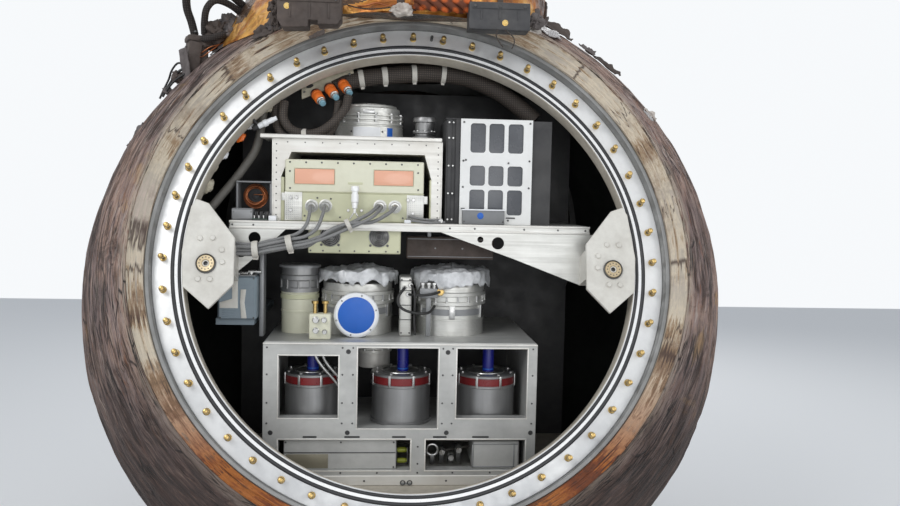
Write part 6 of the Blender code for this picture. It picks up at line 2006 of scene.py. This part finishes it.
def makeBoreStrip():
    s = boreStrip
    bm = bmesh.new()
    ring = [bm.verts.new((r, 0, h)) for r, h in ((s["inside"], s["low"]), (s["outside"], s["low"] + 0.003),
        (s["outside"], s["high"]), (s["inside"] + 0.002, s["high"]))]
    face = bm.faces.new(ring)
    bmesh.ops.spin(bm, geom=[face] + face.edges[:] + ring, cent=(0, 0, 0), axis=(0, 0, 1),
        angle=math.radians(s["last"] - s["first"]), steps=90, use_merge=False, use_duplicate=False)
    bmesh.ops.remove_doubles(bm, verts=bm.verts, dist=weld)
    carry(bm, spun(s["first"], "Z"))
    for vert in bm.verts:
        r = math.hypot(vert.co.x, vert.co.y)
        pull = 0.008 * noise.fractal(vert.co * 26.0, 0.8, 2.0, 4) if r < s["inside"] + 0.005 else 0.0
        vert.co.x *= 1 - pull / r
        vert.co.y *= 1 - pull / r
    lump = bmesh.new()
    bmesh.ops.create_icosphere(lump, subdivisions=3, radius=1.0)
    for vert in lump.verts:
        vert.co *= 1.0 + 0.35 * noise.fractal(vert.co * 1.6, 0.8, 2.0, 4)
    for angle, radius, height, size, index in ((159.0, 0.694, 0.634, (0.016, 0.024, 0.014), 0),
            (149.5, 0.700, 0.628, (0.010, 0.014, 0.009), 2), (143.0, 0.694, 0.627, (0.010, 0.017, 0.008), 1),
            (139.0, 0.700, 0.624, (0.009, 0.012, 0.008), 2), (131.5, 0.702, 0.626, (0.012, 0.020, 0.010), 0)):
        add(bm, lump, (onBore(angle, radius, height) @ Matrix.Diagonal((*size, 1.0)),), index)
    for angle in (130.0, 135.5, 141.0, 146.5, 152.0):
        add(bm, screwHead(0.0040, 0.0025), (onBore(angle, s["screwCircle"], 0.6285)
            @ Matrix.Rotation(math.pi, 4, "X"),), 3)
    carry(bm, frontHatch)
    # white plug with its dark tail on a bracket from the hull
    start, end = Vector(s["plugStart"]), Vector(s["plugEnd"])
    place = upright(0, 0, ballHeight) @ lineUp(start, end)
    add(bm, lathe([(0, 0), (0.0095, 0), (0.0095, 0.018), (0.0115, 0.020), (0.0115, 0.032), (0.0088, 0.034),
        (0.0088, 0.052), (0.0070, 0.056), (0.0070, 0.066), (0, 0.066)], 24), (place,), 2)
    add(bm, lathe([(0, -0.020), (0.0075, -0.020), (0.0105, -0.014), (0.0105, 0.001), (0, 0.001)], 20), (place,), 4)
    arm = lineUp(start + Vector((0, 0.004, 0)), start * (s["hull"] / start.length))
    reach = s["hull"] - start.length
    add(bm, block(-0.007, 0.007, -0.004, 0.004, 0.0, reach, 0.0015), (upright(0, 0, ballHeight) @ arm,), 4)
    build("boreStrip", bm, ("beige", "orange", "whiteRim", "steel", "black"), merge=False)


# duct under the shelf and the vessel above the middle bay
bayVessel = dict(x=-0.118, y=-0.340, boltCircle=0.059, boltsAt=-0.1080)


def makeFillers():
    bm = block(-0.015, 0.275, -0.470, -0.400, 0.212, 0.286, 0.006, 3)
    for z in (0.219, 0.277):
        add(bm, block(-0.011, 0.271, -0.4712, -0.4690, z, z + 0.0022, 0.0006), index=1)
    for x in (0.060, 0.150, 0.240):
        add(bm, block(x - 0.006, x + 0.006, -0.466, -0.404, 0.2855, 0.3052, 0.0015), index=1)
        add(bm, screwHead(*smallScrew), (front(x + 0.020, -0.470, 0.248),), 1)
    inner("shelfDuct", bm, ("burnt", "greyPlate"), "dark_paint", merge=False)
    rows = [(0, -0.1700), (0.052, -0.1700), (0.056, -0.1670), (0.056, -0.1180), (0.0620, -0.1160), (0.0620, -0.1080),
        (0.058, -0.1060), (0.058, -0.0625), (0, -0.0625)]
    bm = lathe(rows, 64)
    v = bayVessel
    slide(bm, v["x"], v["y"], 0)
    bolts = [onRing(v["boltCircle"], 30 * k) for k in range(12)]
    add(bm, hexBolt(0.0046, 0.0042), [upright(v["x"] + dx, v["y"] + dy, v["boltsAt"]) for dx, dy in bolts], 1)
    inner("bayVessel", bm, ("portal", "steel"), "rack_alloy", merge=False)


makeSideBlock()
makeSkirt()
makeFlakes()
makeBoreStrip()
makeFillers()
print("burnt fittings and fillers made")
